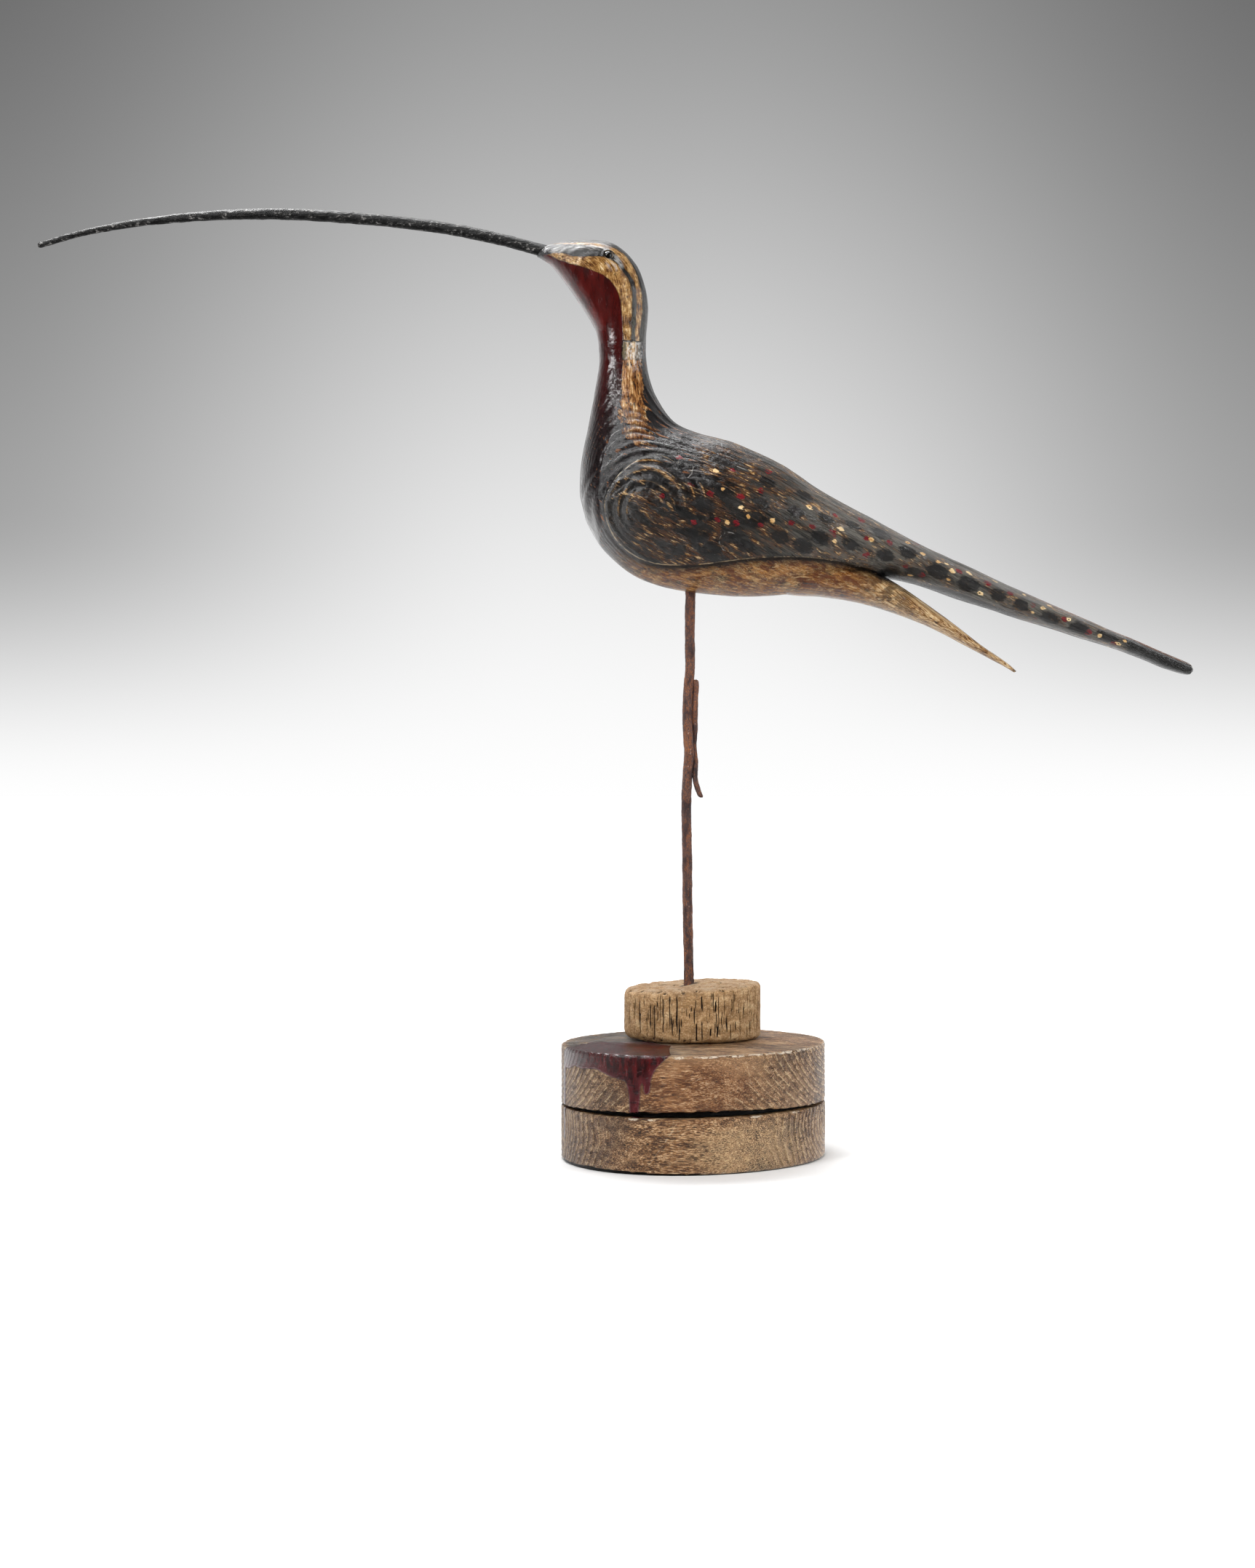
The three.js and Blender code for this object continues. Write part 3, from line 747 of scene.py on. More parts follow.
# %% Sections between the two lines
def form_rings(rows, shares, sides, roof, keel):
    """Rings through the stations. Roof and keel say how square the upper and lower halves are."""
    line = smooth_line(rows, shares)
    angle = turns(sides)
    roof, keel = ((each(shares) if callable(each) else each) + 0 * shares for each in (roof, keel))
    square = np.where(np.cos(angle)[None, :] > 0, roof[:, None], keel[:, None])
    height, reach = (np.sign(each) * np.abs(each) ** (2 / square) for each in (np.cos(angle), np.sin(angle)))
    middle = (line[:, None, 0:2] + line[:, None, 2:4]) / 2
    upward = line[:, None, 2:4] - middle
    place = middle + upward * height[..., None]
    rings = np.stack([place[..., 0], -reach * line[:, 4:5], place[..., 1]], -1)
    return rings, height


def shares_along(rows, gap):
    """Shares about a gap apart along the longer of the two lines, and the travel at 3000 even shares."""
    fine = np.linspace(0, 1, 3000)
    line = smooth_line(rows, fine)
    under = lengths(np.diff(line[:, 0:2], axis=0))
    over = lengths(np.diff(line[:, 2:4], axis=0))
    return even_shares(np.maximum(under, over), gap), np.concatenate([[0], np.cumsum((under + over) / 2)])


def form(name, rows, gap, sides, roof, keel):
    """A skin over stations. Its points keep their travel along the form, girth round it and height in it."""
    shares, travelled = shares_along(rows, gap)
    rings, height = form_rings(rows, shares, sides, roof, keel)
    made = skin(name, rings)
    travel = np.repeat(np.interp(shares, np.linspace(0, 1, 3000), travelled), sides)
    steps = np.linalg.norm(np.diff(rings, axis=1, prepend=rings[:, -1:]), axis=2)
    steps[:, 0] = 0
    girth = np.cumsum(steps, axis=1)
    girth = np.minimum(girth, girth[:, -1:] - girth)  # the same on both sides, from the back down
    for label, values in (("travel", travel), ("girth", girth.ravel()), ("height", height.ravel())):
        keep(made, **{label: np.concatenate([values, [values[0], values[-1]]])})
    return made


def kept(made, name):
    values = np.empty(len(made.data.vertices), np.float32)
    made.data.attributes[name].data.foreach_get("value", values)
    return values.astype(float)


def combine(made, other, operation):
    """Joins or cuts with a boolean, and throws the other object away."""
    cut = made.modifiers.new("cut", "BOOLEAN")
    cut.operation, cut.solver, cut.object = operation, "MANIFOLD", other
    evaluated = made.evaluated_get(bpy.context.evaluated_depsgraph_get())
    mesh = bpy.data.meshes.new_from_object(evaluated)
    made.modifiers.clear()
    made.data = mesh
    bpy.data.objects.remove(other)
    return made


def plug(name, start, stop, radius, sides=32):
    """A round bar between two points, to cut a hole with."""
    start, stop = np.asarray(start, float), np.asarray(stop, float)
    along = (stop - start) / np.linalg.norm(stop - start)
    across = np.cross(along, [0, 1, 0])
    across /= np.linalg.norm(across)
    upward = np.cross(across, along)
    angle = turns(sides)[:, None]
    circle = radius * (np.cos(angle) * across + np.sin(angle) * upward)
    return skin(name, np.array([start + circle, stop + circle]))


# %% The wing's edge, drawn on the side of the bird
wing_edge = [
    (-22, 200), (-52, 214), (-80, 209), (-122, 177), (-141, 132), (-120, 77), (-70, 43), (5, 37),
    (104, 47), (201, 47), (312, 28), (438, -6), (588, -61), (711, -105),
]
wing_relief = 1.6 * MM
wing_sink = 0.3 * MM
wing_fade = (math.sin(math.radians(50)), math.sin(math.radians(80)))


def wing_distance(points):
    """Distance inside the wing's edge, seen from the side, in metres."""
    fine = smooth_line(wing_edge, np.linspace(0, 1, 60)) * body_length / 1000
    outline = np.vstack([fine, [[body_length, -body_length / 4], [body_length, body_length / 2],
                                [-0.008, body_length / 2]]])
    places = points[:, [0, 2]] - rod_entry[[0, 2]]
    distance = np.abs(signed_distance(places, fine, closed=False))
    inside = signed_distance(places, outline) > 0
    return np.where(inside, distance, -distance)


def wing_blend(points):
    """0 along the line where the wing ends on the shoulder and 1 well behind it, so nothing ends abruptly."""
    start = smooth_line(wing_edge, np.array([0.0]))[0] * body_length / 1000
    line = [start, [-0.008, body_length / 2]]
    away = np.abs(signed_distance(points[:, [0, 2]] - rod_entry[[0, 2]], line, closed=False))
    return ease(away, 0, 26 * MM)


# %% The wood that the bird was carved from
grain_spacing = 2.3 * MM


def wood_rings(points, travel, seed):
    """The plank's year rings stand on edge, so each surface shows them like the height lines on a map."""
    wander = rough_noise(points, (60, 30, 45), 2, seed) * 2.6 * MM
    fine = rough_noise(np.column_stack([travel, points[:, 1], points[:, 2] * 0.3]), 9, 2, seed + 7)
    across = points[:, 1] + 0.06 * points[:, 2] + wander + 0.35 * MM * fine
    return across / grain_spacing + 100


def grain_move(rings, normals, height):
    """Raised late wood, lower where the rings crowd together on steep places."""
    share = rings - np.floor(rings)
    ridge = ease(share, 0.05, 0.6) * (1 - ease(share, 0.65, 0.98)) - 0.45
    surface_gap = 1 / np.sqrt(np.maximum(1 - normals[:, 1] ** 2, 0.003))
    return ridge * (0.35 + 0.65 * ease(surface_gap, 1.0, 1.7)) * height


def close_joint(points, direction):
    """The glued neck joint is closed at its front and only a hairline at its back."""
    at_joint = np.abs(points[:, 2] - seam_middle[2]) < 0.2 * MM
    front = 1 - ease(points[:, 0] - seam_middle[0], -1 * MM, 2 * MM)
    points[at_joint, 2] += direction * seam_gap / 2 * front[at_joint]
    return points


# %% [markdown]
# ## Where the painted marks lie
#
# The painter's marks are drawn on the side of the bird, and noted in thousandths of the body's length from
# where the rod enters it. Each point of the mesh then keeps how far inside an outline it lies, in
# millimetres. The material cuts that distance off with a ragged edge, so a border stays sharp however close
# one looks.

# %% Outlines of the painted areas
throat_edge = [
    (-229, 546), (-214, 537), (-195, 529), (-180, 525), (-165, 519), (-153, 514), (-141, 509), (-131, 501),
    (-123, 491), (-117, 479), (-114, 468), (-112, 450), (-111, 432), (-110, 414),
]
red_outline = [(-238, 549), *throat_edge,  # the dark red throat and breast, open towards the front
    (-110, 372), (-112, 343), (-113, 316), (-118, 298), (-119, 275), (-122, 263), (-129, 248), (-137, 228),
    (-143, 205), (-148, 177), (-149, 149), (-148, 127), (-144, 108), (-150, 70), (-400, 70), (-400, 540),
    (-260, 545),
]
cheek_outline = [(-236, 547), *throat_edge,
    (-110, 398), (-97, 398), (-96, 417), (-96, 437), (-95, 452), (-95, 467), (-95, 484), (-98, 496),
    (-102, 506), (-110, 516), (-117, 526), (-125, 533), (-132, 536), (-140, 539), (-147, 540), (-161, 540),
    (-176, 540), (-191, 541), (-198, 544), (-212, 549), (-221, 550),
]
crown_outline = [
    (-233, 568), (-206, 564), (-183, 561), (-165, 559), (-150, 556), (-138, 554), (-134, 553), (-126, 549),
    (-119, 541), (-112, 531), (-107, 521), (-99, 512), (-92, 501), (-89, 487), (-88, 472), (-88, 453),
    (-89, 436), (-90, 423), (-90, 412), (-89, 401), (-83, 400), (-83, 419), (-80, 439), (-78, 454),
    (-78, 470), (-79, 485), (-83, 498), (-86, 512), (-92, 525), (-99, 537), (-108, 548), (-119, 555),
    (-129, 559), (-144, 563), (-162, 565), (-184, 566), (-206, 567), (-233, 572),
]
repair_outline = [(-110, 403), (-82, 404), (-82, 377), (-90, 375), (-99, 375), (-108, 373), (-111, 378)]
neck_outline = [
    (-110, 376), (-112, 343), (-112, 316), (-118, 298), (-117, 274), (-115, 250), (-109, 232), (-53, 218),
    (-55, 251), (-64, 282), (-75, 309), (-79, 345), (-81, 378),
]
folds = [
    [(-124, 166), (-109, 172), (-95, 173), (-75, 164), (-59, 155), (-42, 138), (-31, 121)],
    [(-120, 186), (-101, 197), (-81, 194), (-56, 187), (-36, 178), (-19, 163), (-3, 146)],
    [(-126, 144), (-109, 150), (-89, 145), (-70, 136)],
]

# %% Dots and dabs of the feather pattern
red_dots = [
    (-2, 164), (29, 149), (76, 145), (40, 105), (71, 102), (-48, 144), (109, 154), (122, 189), (65, 188),
    (-19, 209), (2, 104), (108, 98), (157, 104), (191, 96), (230, 118), (272, 112), (224, 86), (280, 79),
    (318, 74), (280, 53), (366, 76), (341, 37), (371, 23), (432, 29), (479, 11), (515, -6), (550, -24),
    (559, -45), (603, -47), (645, -69), (686, -86),
]
cream_dots = [
    (48, 155), (78, 126), (56, 103), (38, 187), (91, 112), (129, 107), (188, 130), (236, 95), (226, 76),
    (286, 78), (350, 76), (372, 57), (396, 45), (411, 41), (418, 30), (449, 26), (492, 16), (539, -6),
    (567, -28), (581, -25), (549, -35), (610, -47), (658, -71), (693, -86), (704, -81), (354, 23),
    (413, 16), (463, -5),
]
dark_dabs = [
    (308, 54), (348, 58), (394, 28), (445, 9), (492, -8), (530, -24), (576, -45), (627, -63), (302, 90),
    (359, 26), (672, -72), (110, 134), (18, 129), (139, 80), (257, 102), (250, 70), (214, 112), (60, 80),
    (10, 82), (165, 122), (175, 66), (85, 66), (205, 78), (30, 60), (100, 110), (-30, 190), (-60, 172),
    (45, 205), (120, 170), (180, 150),
]
tail_way = np.array([0.93, 0, -0.37])


def arc(centre, radius, start, stop):
    turn = np.radians(np.linspace(start, stop, 12))
    return np.stack([centre[0] + radius * np.cos(turn), centre[1] + radius * np.sin(turn)], 1)


scratch_marks = [arc((58, 72), 15, 50, 255), [(2, 193), (0, 182), (-7, 174)], [(72, 196), (92, 187)]]


def flat_places(points):
    """Places on the side of the bird, in thousandths of its length from where the rod enters."""
    return (points[:, [0, 2]] - rod_entry[[0, 2]]) / body_length * 1000


def side_view(points):
    """The same, but the far side wanders a little."""
    places = flat_places(points)
    far = ease(points[:, 1], 0, 6 * MM)[:, None]
    drift = np.stack([noise(points, 45, seed=90), noise(points, 45, seed=91)], 1)
    return places + far * drift * 9


def inside(points, *outlines):
    """How far inside the nearest of the outlines each point lies, in millimetres."""
    places = side_view(points)
    return np.max([signed_distance(places, outline) for outline in outlines], axis=0) * body_length


def scratch_lines(points):
    """Distance in millimetres to the scratches, which are only on the bird's left side."""
    places = flat_places(points)
    away = np.min([np.abs(signed_distance(places, line, closed=False)) for line in scratch_marks], axis=0)
    return np.where(points[:, 1] < 0, away * body_length, 50)


def spots(points, marks, half_long, half_wide, seed):
    """How far inside the nearest of many ovals each point lies, in millimetres, on both sides of the bird."""
    draw = np.random.default_rng(seed)
    nearest = np.full(len(points), -50.0)
    places = flat_places(points)
    for side in (-1, 1):
        facing = points[:, 1] * side > 0
        for mark in marks:
            shift = draw.normal(0, 7, 2) if side > 0 else np.zeros(2)
            size = draw.uniform(0.8, 1.15)
            gap = np.hypot(*(places - mark - shift).T) + np.where(facing, 0, 1e6)
            centre = points[np.argmin(gap)]
            near = np.flatnonzero(np.abs(points[:, 0] - centre[0]) < 30 * MM)
            offset = points[near] - centre
            along = offset @ tail_way
            across = np.sqrt(np.maximum(np.einsum("ij,ij->i", offset, offset) - along**2, 0))
            level = 1 - np.hypot(along / (half_long * MM), across / (half_wide * MM)) / size
            nearest[near] = np.maximum(nearest[near], level * half_wide)
    return nearest


print("red dots, cream dots and dabs on each side:", len(red_dots), len(cream_dots), len(dark_dabs))

# %% Make the body
def eased(first, last, low, high):
    """A number that changes from first to last between two shares of the form's length."""
    return lambda share: first + (last - first) * ease(share, low, high)


def fill_unknown(made, *names):
    """Points that a boolean made have no values yet, so each takes those of the nearest point that has."""
    known = kept(made, "known") > 0.5
    points = points_of(made)
    tree = KDTree(int(known.sum()))
    for place in np.flatnonzero(known):
        tree.insert(points[place], place)
    tree.balance()
    nearest = [tree.find(points[place])[1] for place in np.flatnonzero(~known)]
    for name in names:
        values = kept(made, name)
        values[~known] = values[nearest]
        made.data.attributes[name].data.foreach_set("value", values.astype(np.float32))


def carve_body():
    stations = station_rows([neck_top_station] + body_stations, body_length, rod_entry)
    rows = np.vstack([neck_row(seam_middle[2] - seam_gap / 2), stations])
    spacing = eased(1.25 * MM, 2.2 * MM, 0.4, 0.75)
    made = form("bird_body", rows, spacing, 276, eased(2, 1.65, 0.5, 0.8), eased(2.1, 3, 0.5, 0.8))
    spike = form("spike", station_rows(spike_stations, body_length, rod_entry), 1.6 * MM, 84, 2.2, 2.2)
    for piece, is_spike in ((made, 0), (spike, 1)):
        every = np.ones(len(piece.data.vertices))
        keep(piece, spike=is_spike * every, known=every)
    combine(made, spike, "UNION")
    hole = plug("hole", rod_entry - [0, 0, 7 * MM], rod_entry + [0, 0, 34 * MM], hole_radius)
    combine(made, hole, "DIFFERENCE")
    fill_unknown(made, "travel", "height", "girth", "spike")
    return made


bird_body = carve_body()
print("the body has", len(bird_body.data.polygons), "faces")

# %% Raise the wings, and let the year rings stand out of the wood
swirl_middle, swirl_spacing, swirl_relief = (-27 * MM, 390 * MM), 6.0 * MM, 0.7 * MM


def fold_relief(points):
    """The soft folds that were carved behind the wing's bend."""
    places = side_view(points)
    relief = np.zeros(len(points))
    for line in folds:
        smooth = smooth_line(line, np.linspace(0, 1, 24))
        away = np.abs(signed_distance(places, smooth, closed=False)) * body_length
        relief = np.maximum(relief, bump(away, 0, 2.1))
    return relief


def swirls(points):
    """Curved furrows round the wing's bend, as a number that grows by one a furrow, and where they lie."""
    away = np.hypot(points[:, 0] - swirl_middle[0], points[:, 2] - swirl_middle[1])
    zone = ease(-away, -46 * MM, -36 * MM) * ease(away, 8 * MM, 14 * MM)
    zone *= ease(points[:, 2] - 0.25 * points[:, 0], 388 * MM, 402 * MM)
    return away / swirl_spacing + 0.25 * noise(points, 16, seed=67), zone


def away_from_hole(points):
    """0 in and round the rod's hole, 1 a little away from it."""
    away = np.hypot(points[:, 0] - rod_entry[0], points[:, 1])
    near = (away < 8 * MM) & (points[:, 2] < rod_entry[2] + 45 * MM)
    wall = near & (away < hole_radius + 0.4 * MM)
    free = np.where(near, ease(away, hole_radius + 0.2 * MM, hole_radius + 3 * MM), 1)
    return np.where(wall, 0, free)


def dress_body(made):
    points, normals = points_of(made), normals_of(made)
    travel, height, spike = kept(made, "travel"), kept(made, "height"), kept(made, "spike")
    free = away_from_hole(points)
    wing = wing_distance(points)
    side = np.sqrt(np.clip(1 - np.maximum(height, 0) ** 2, 0, 1))
    fade = np.where(height > 0, ease(side, *wing_fade), 1.0)
    blend = np.where(height > 0.2, wing_blend(points), 1)
    lift = np.maximum(wing_relief * fade - wing_sink * (1 - fade), 0) * blend
    step = ease(wing, -0.4 * MM, 1.0 * MM)
    groove = bump(wing, -0.9 * MM, 0.8 * MM) * 0.35 * MM * fade
    roll = bump(wing, 1.8 * MM, 1.6 * MM) * 0.25 * MM * fade
    sideways = (lift * step - groove + roll) * (1 - spike) * free
    points[:, 1] += np.sign(points[:, 1]) * sideways
    rings = wood_rings(points, travel, seed=61)
    near_seam = ease(seam_middle[2] - points[:, 2], 0.5 * MM, 4 * MM)
    on_wing = ease(wing, 0, 4 * MM)
    on_neck = ease(points[:, 2], 432 * MM, 468 * MM)
    on_neck = np.maximum(on_neck, 0.75 * ease(-points[:, 0], 40 * MM, 52 * MM))
    on_back = ease(height, 0.3, 0.6) * ease(points[:, 0], -60 * MM, -30 * MM)
    ridges = grain_move(rings, normals, 0.36 * MM) * (0.6 + 0.6 * rough_noise(points, 20, 2, seed=64))
    ridges *= (1 - 0.5 * on_wing * fade) * (1 - 0.85 * on_neck) * (1 - 0.8 * on_back)
    along = np.stack([travel, kept(made, "girth"), 0 * travel], 1)
    ridges += noise(along, (30, 2.4, 5), seed=66) * 0.3 * MM * on_back
    dents = rough_noise(points, 7, 2, seed=63) * (0.1 + 0.08 * on_neck) * MM
    lumps = rough_noise(points, 17, 2, seed=62) * 0.3 * MM
    folding = fold_relief(points)
    folded = (folding * 1.1 - 0.4) * MM * on_wing * ease(-points[:, 0], -0.02, 0.01) * blend
    swirl, zone = swirls(points)
    swirled = (0.5 * np.cos(2 * math.pi * swirl) - 0.5) * swirl_relief * zone
    move = (ridges * (1 - 0.6 * zone) + lumps + dents + folded + swirled - 0.08 * MM) * free * near_seam
    move_points(made, close_joint(points + normals * move[:, None], 1))
    flow = np.stack([travel, kept(made, "girth"), rings * grain_spacing], 1)
    keep(made, rings=rings, wing=wing / MM, flow=flow / MM, fold=folding * on_wing, swirl=swirl, zone=zone,
         blend=blend, scratch=scratch_lines(points), red=inside(points, red_outline),
         bare=inside(points, neck_outline), repair=inside(points, repair_outline),
         red_dot=spots(points, red_dots, 2.2, 1.8, seed=33),
         cream_dot=spots(points, cream_dots, 1.6, 1.3, seed=34),
         dab=spots(points, dark_dabs, 6.2, 4.2, seed=35))
    finish_piece(made, "body", 40)


dress_body(bird_body)

# %% [markdown]
# ## The head, the bill and the eyes
#
# The head was carved by itself and glued on at the neck. Its last section leans back, where the bill's root
# sits in it. The eyes are glass beads in small sockets, which a boolean cuts.

# %% Stations of the head, in thousandths of its height from the middle of the neck seam
head_height = 66.3 * MM
bill_length = 309 * MM
head_stations = [
    (-247, 128, 225, 128, 196), (-341, 295, 240, 336, 202), (-451, 456, 210, 537, 220),
    (-565, 617, 122, 745, 231), (-659, 728, -89, 930, 199), (-737, 782, -404, 956, 130),
]
bill_origin = seam_middle + np.array([-0.730, 0, 0.866]) * head_height
bill_line = [
    (0, 0), (-96, 25), (-211, 47), (-355, 63), (-499, 72), (-643, 70), (-787, 57), (-902, 37), (-1000, 10),
]
bill_root, bill_tip = 7.5 * MM, 3.9 * MM
bill_slant = math.radians(32)
tenon_diameter, tenon_length = 4.6 * MM, 9 * MM
bill_collar = 0.6 * MM
eye_place = seam_middle + np.array([-0.131, 0, 0.776]) * head_height
eye_diameter, eye_sink = 5.4 * MM, 1.4 * MM


def bill_middle(shares):
    """Places along the bill and its direction, at shares of its true length."""
    fine = smooth_line(bill_line, np.linspace(0, 1, 2000)) * bill_length / 1000
    steps = lengths(np.diff(fine, axis=0))
    travelled = np.concatenate([[0], np.cumsum(steps)]) / steps.sum()
    place, ahead, behind = (
        np.stack([np.interp(at, travelled, fine[:, 0]), 0 * at, np.interp(at, travelled, fine[:, 1])], 1)
        for at in (shares, shares + 1e-3, shares - 1e-3)
    )
    way = ahead - behind
    return bill_origin + place, way / lengths(way)[:, None]


bill_out = bill_middle(np.array([0.002]))[1][0]
bill_up = np.array([bill_out[2], 0, -bill_out[0]])
print("the bill leaves the head along", bill_out.round(3))


def joint_row(middle, radius):
    """The slanted joint as a row of (underside x and z, back x and z, half the width)."""
    turn = np.array([bill_up[0] * math.cos(bill_slant) + bill_up[2] * math.sin(bill_slant),
                     bill_up[2] * math.cos(bill_slant) - bill_up[0] * math.sin(bill_slant)])
    reach = radius / math.cos(bill_slant)
    place = middle[[0, 2]]
    return np.concatenate([place - reach * turn, place + reach * turn, [radius]])[None, :]


# %% Make the head
def head_rows():
    return np.vstack([
        neck_row(seam_middle[2] + seam_gap / 2),
        station_rows(head_stations, head_height, seam_middle),
        joint_row(bill_origin, bill_root / 2 + bill_collar),
    ])


def cheek_reach(place):
    """How far from the middle the cheek's surface is at a place in the bird's plane."""
    shares = np.linspace(0, 1, 400)
    rings, _ = form_rings(head_rows(), shares, 200, 2.1, 2.1)
    near = rings[np.abs(rings[..., 1]) > 0]
    gap = np.hypot(near[:, 0] - place[0], near[:, 2] - place[2])
    closest = np.argsort(gap)[:12]
    return np.abs(near[closest, 1]).mean()


eye_reach = cheek_reach(eye_place) - eye_sink
eye_middles = [eye_place + [0, side * eye_reach, 0] for side in (-1, 1)]
print("the eyes are", round(eye_reach * 2000, 1), "mm apart")


def ball(name, middle, radius, rows=24, sides=40):
    angle = math.pi * (np.arange(rows) + 0.5) / rows
    turn = turns(sides)
    outward = np.stack([np.cos(turn), 0 * turn, np.sin(turn)], 1)
    rings = middle + radius * (
        np.sin(angle)[:, None, None] * outward[None] + np.cos(angle)[:, None, None] * np.array([0, 1, 0])
    )
    return skin(name, rings)


def carve_head():
    made = form("bird_head", head_rows(), 0.42 * MM, 210, 2.1, 2.1)
    keep(made, known=np.ones(len(made.data.vertices)))
    socket = plug("bill_socket", bill_origin + bill_out * tenon_diameter,
                  bill_origin - bill_out * (tenon_length + seam_gap), tenon_diameter / 2 + seam_gap)
    combine(made, socket, "DIFFERENCE")
    for place in eye_middles:
        combine(made, ball("eye_socket", place, eye_diameter / 2 + seam_gap), "DIFFERENCE")
    fill_unknown(made, "travel", "height", "girth")
    return made


bird_head = carve_head()
print("the head has", len(bird_head.data.polygons), "faces")

# %% Let the grain of the head stand out, and soften it round the eyes
def dress_head(made):
    points, normals = points_of(made), normals_of(made)
    travel = kept(made, "travel")
    from_eye = np.minimum(*[lengths(points - place) for place in eye_middles])
    from_joint = np.abs((points - bill_origin) @ bill_out)
    in_hole = lengths(np.cross(points - bill_origin, bill_out)) < tenon_diameter / 2 + 0.5 * MM
    in_hole &= from_joint < tenon_length + 1 * MM
    from_bead = from_eye - eye_diameter / 2
    free = ease(from_bead, 0.5 * MM, 2.5 * MM) * np.where(in_hole, 0, 1)
    free *= ease(points[:, 2] - seam_middle[2], 0.5 * MM, 4 * MM)
    rings = wood_rings(points, travel, seed=71)
    on_red = ease(inside(points, red_outline), -1, 1)
    ridges = grain_move(rings, normals, 0.16 * MM) * (1 - 0.9 * on_red)
    lumps = rough_noise(points, 11, 2, seed=72) * 0.22 * MM
    rim = bump(from_bead, 0.7 * MM, 0.6 * MM) * 0.25 * MM
    move = (ridges + lumps - 0.08 * MM) * free + rim * np.where(in_hole, 0, 1)
    move_points(made, close_joint(points + normals * move[:, None], -1))
    flow = np.stack([travel, kept(made, "girth"), rings * grain_spacing], 1)
    keep(made, rings=rings, eye=from_eye / MM, flow=flow / MM, red=inside(points, red_outline),
         bare=inside(points, cheek_outline, crown_outline))
    finish_piece(made, "head", 40)


dress_head(bird_head)

# %% Make the bill
def bill_rings():
    sides = 28
    angle = turns(sides)
    side = np.array([0, 1, 0])

    def round_ring(middle, way, radius):
        upward = np.array([way[2], 0, -way[0]])
        return middle + radius[:, None] * (np.cos(angle)[:, None] * upward - np.sin(angle)[:, None] * side)

    def joint_ring(radius):
        row = joint_row(bill_origin + bill_out * seam_gap, radius)
        rings, _ = form_rings(np.vstack([row, row]), np.array([0.0, 1.0]), sides, 2, 2)
        return rings[0]

    even = np.ones(sides)
    rings = [round_ring(bill_origin - bill_out * share * tenon_length, bill_out, even * tenon_diameter / 2)
             for share in (1, 0.7, 0.4)]
    rings += [joint_ring(tenon_diameter / 2), joint_ring(bill_root / 2)]
    shares = bill_root / bill_length + (1 - bill_root / bill_length) * np.linspace(0, 1, 620)
    middles, ways = bill_middle(shares)
    taper = ease(shares, 0.4, 1)
    radii = (bill_root * (1 - taper) + bill_tip * taper) / 2
    tip = np.clip((1 - shares) * bill_length / (bill_tip * 0.5), 0, 1)
    radii = radii * np.sqrt(1 - 0.6 * (1 - tip) ** 2)
    for middle, way, radius in zip(middles, ways, radii):
        rings.append(round_ring(middle, way, even * radius))
    return np.array(rings)


def carve_bill():
    made = skin("bird_bill", bill_rings())
    points, normals = points_of(made), normals_of(made)
    along = (points - bill_origin) @ bill_out
    free = ease(along, 1 * MM, 8 * MM)
    lumps = rough_noise(points, (4.5, 2.6, 2.6), 3, seed=81) * 0.34 * MM
    fibre = noise(points, (12, 0.9, 0.9), seed=82) * 0.09 * MM
    move_points(made, points + normals * ((lumps + fibre - 0.17 * MM) * free)[:, None])
    finish_piece(made, "bill", 50)
    return made


bird_bill = carve_bill()

# %% Make the eyes
def bead(name, place, node):
    made = ball(name, place, eye_diameter / 2, 28, 48)
    keep(made, outward=np.abs(points_of(made)[:, 1] - place[1]) / (eye_diameter / 2))
    finish_piece(made, node)
    return made


left_eye = bead("left_eye_bead", eye_middles[0], "eye_left")
right_eye = bead("right_eye_bead", eye_middles[1], "eye_right")

# %% [markdown]
# ## Building materials from nodes
#
# A material is a small machine of nodes. The helpers here add one node each and link it up, so that a
# recipe reads like a list of steps. Where a node takes its numbers from the mesh, an Attribute node reads
# what the cells above kept at the points: the year rings, the distances to painted outlines, and the flow
# of the grain.

# %% Helpers for nodes
recipe = {}  # holds the node tree that is being built


class Value:
    """What a node puts out. Adding, subtracting or multiplying values adds a Math node."""

    def __init__(self, socket):
        self.socket = socket

    def __add__(self, other):
        return calc("ADD", self, other)

    def __sub__(self, other):
        return calc("SUBTRACT", self, other)

    def __rsub__(self, other):
        return calc("SUBTRACT", other, self)

    def __mul__(self, other):
        return calc("MULTIPLY", self, other)

    def __abs__(self):
        return calc("ABSOLUTE", self)


def colour(code):
    """A colour such as "7a4a20" in the linear numbers that Blender works with."""
    shares = [int(code[start:start + 2], 16) / 255 for start in (0, 2, 4)]
    return [share / 12.92 if share < 0.04045 else ((share + 0.055) / 1.055) ** 2.4 for share in shares] + [1]


def feed(socket, value):
    """Links a value to a socket, or sets the socket's own number or colour."""
    if isinstance(value, Value):
        socket.id_data.links.new(value.socket, socket)
    else:
        socket.default_value = colour(value) if isinstance(value, str) else value


def node(kind, inputs, output=0, **settings):
    """Adds a node with its settings and inputs, and gives back one of its outputs."""
    made = recipe["tree"].nodes.new("ShaderNode" + kind)
    for name, value in settings.items():
        setattr(made, name, value)
    for name, value in inputs.items():
        feed(made.inputs[name], value)
    return Value(made.outputs[output])


def calc(operation, *values):
    """Arithmetic on values, such as the larger one of two."""
    return node("Math", dict(enumerate(values)), operation=operation)


def mix(share, first, second):
    """The first colour where the share is 0, the second one where it is 1."""
    return node("Mix", {0: share, 6: first, 7: second}, output=2, data_type="RGBA")


def band(value, low, high):
    """0 below low, 1 above high and smooth between. Where low is the higher one it runs the other way."""
    inputs = {"Value": value, "From Min": low, "From Max": high}
    return node("MapRange", inputs, interpolation_type="SMOOTHSTEP")


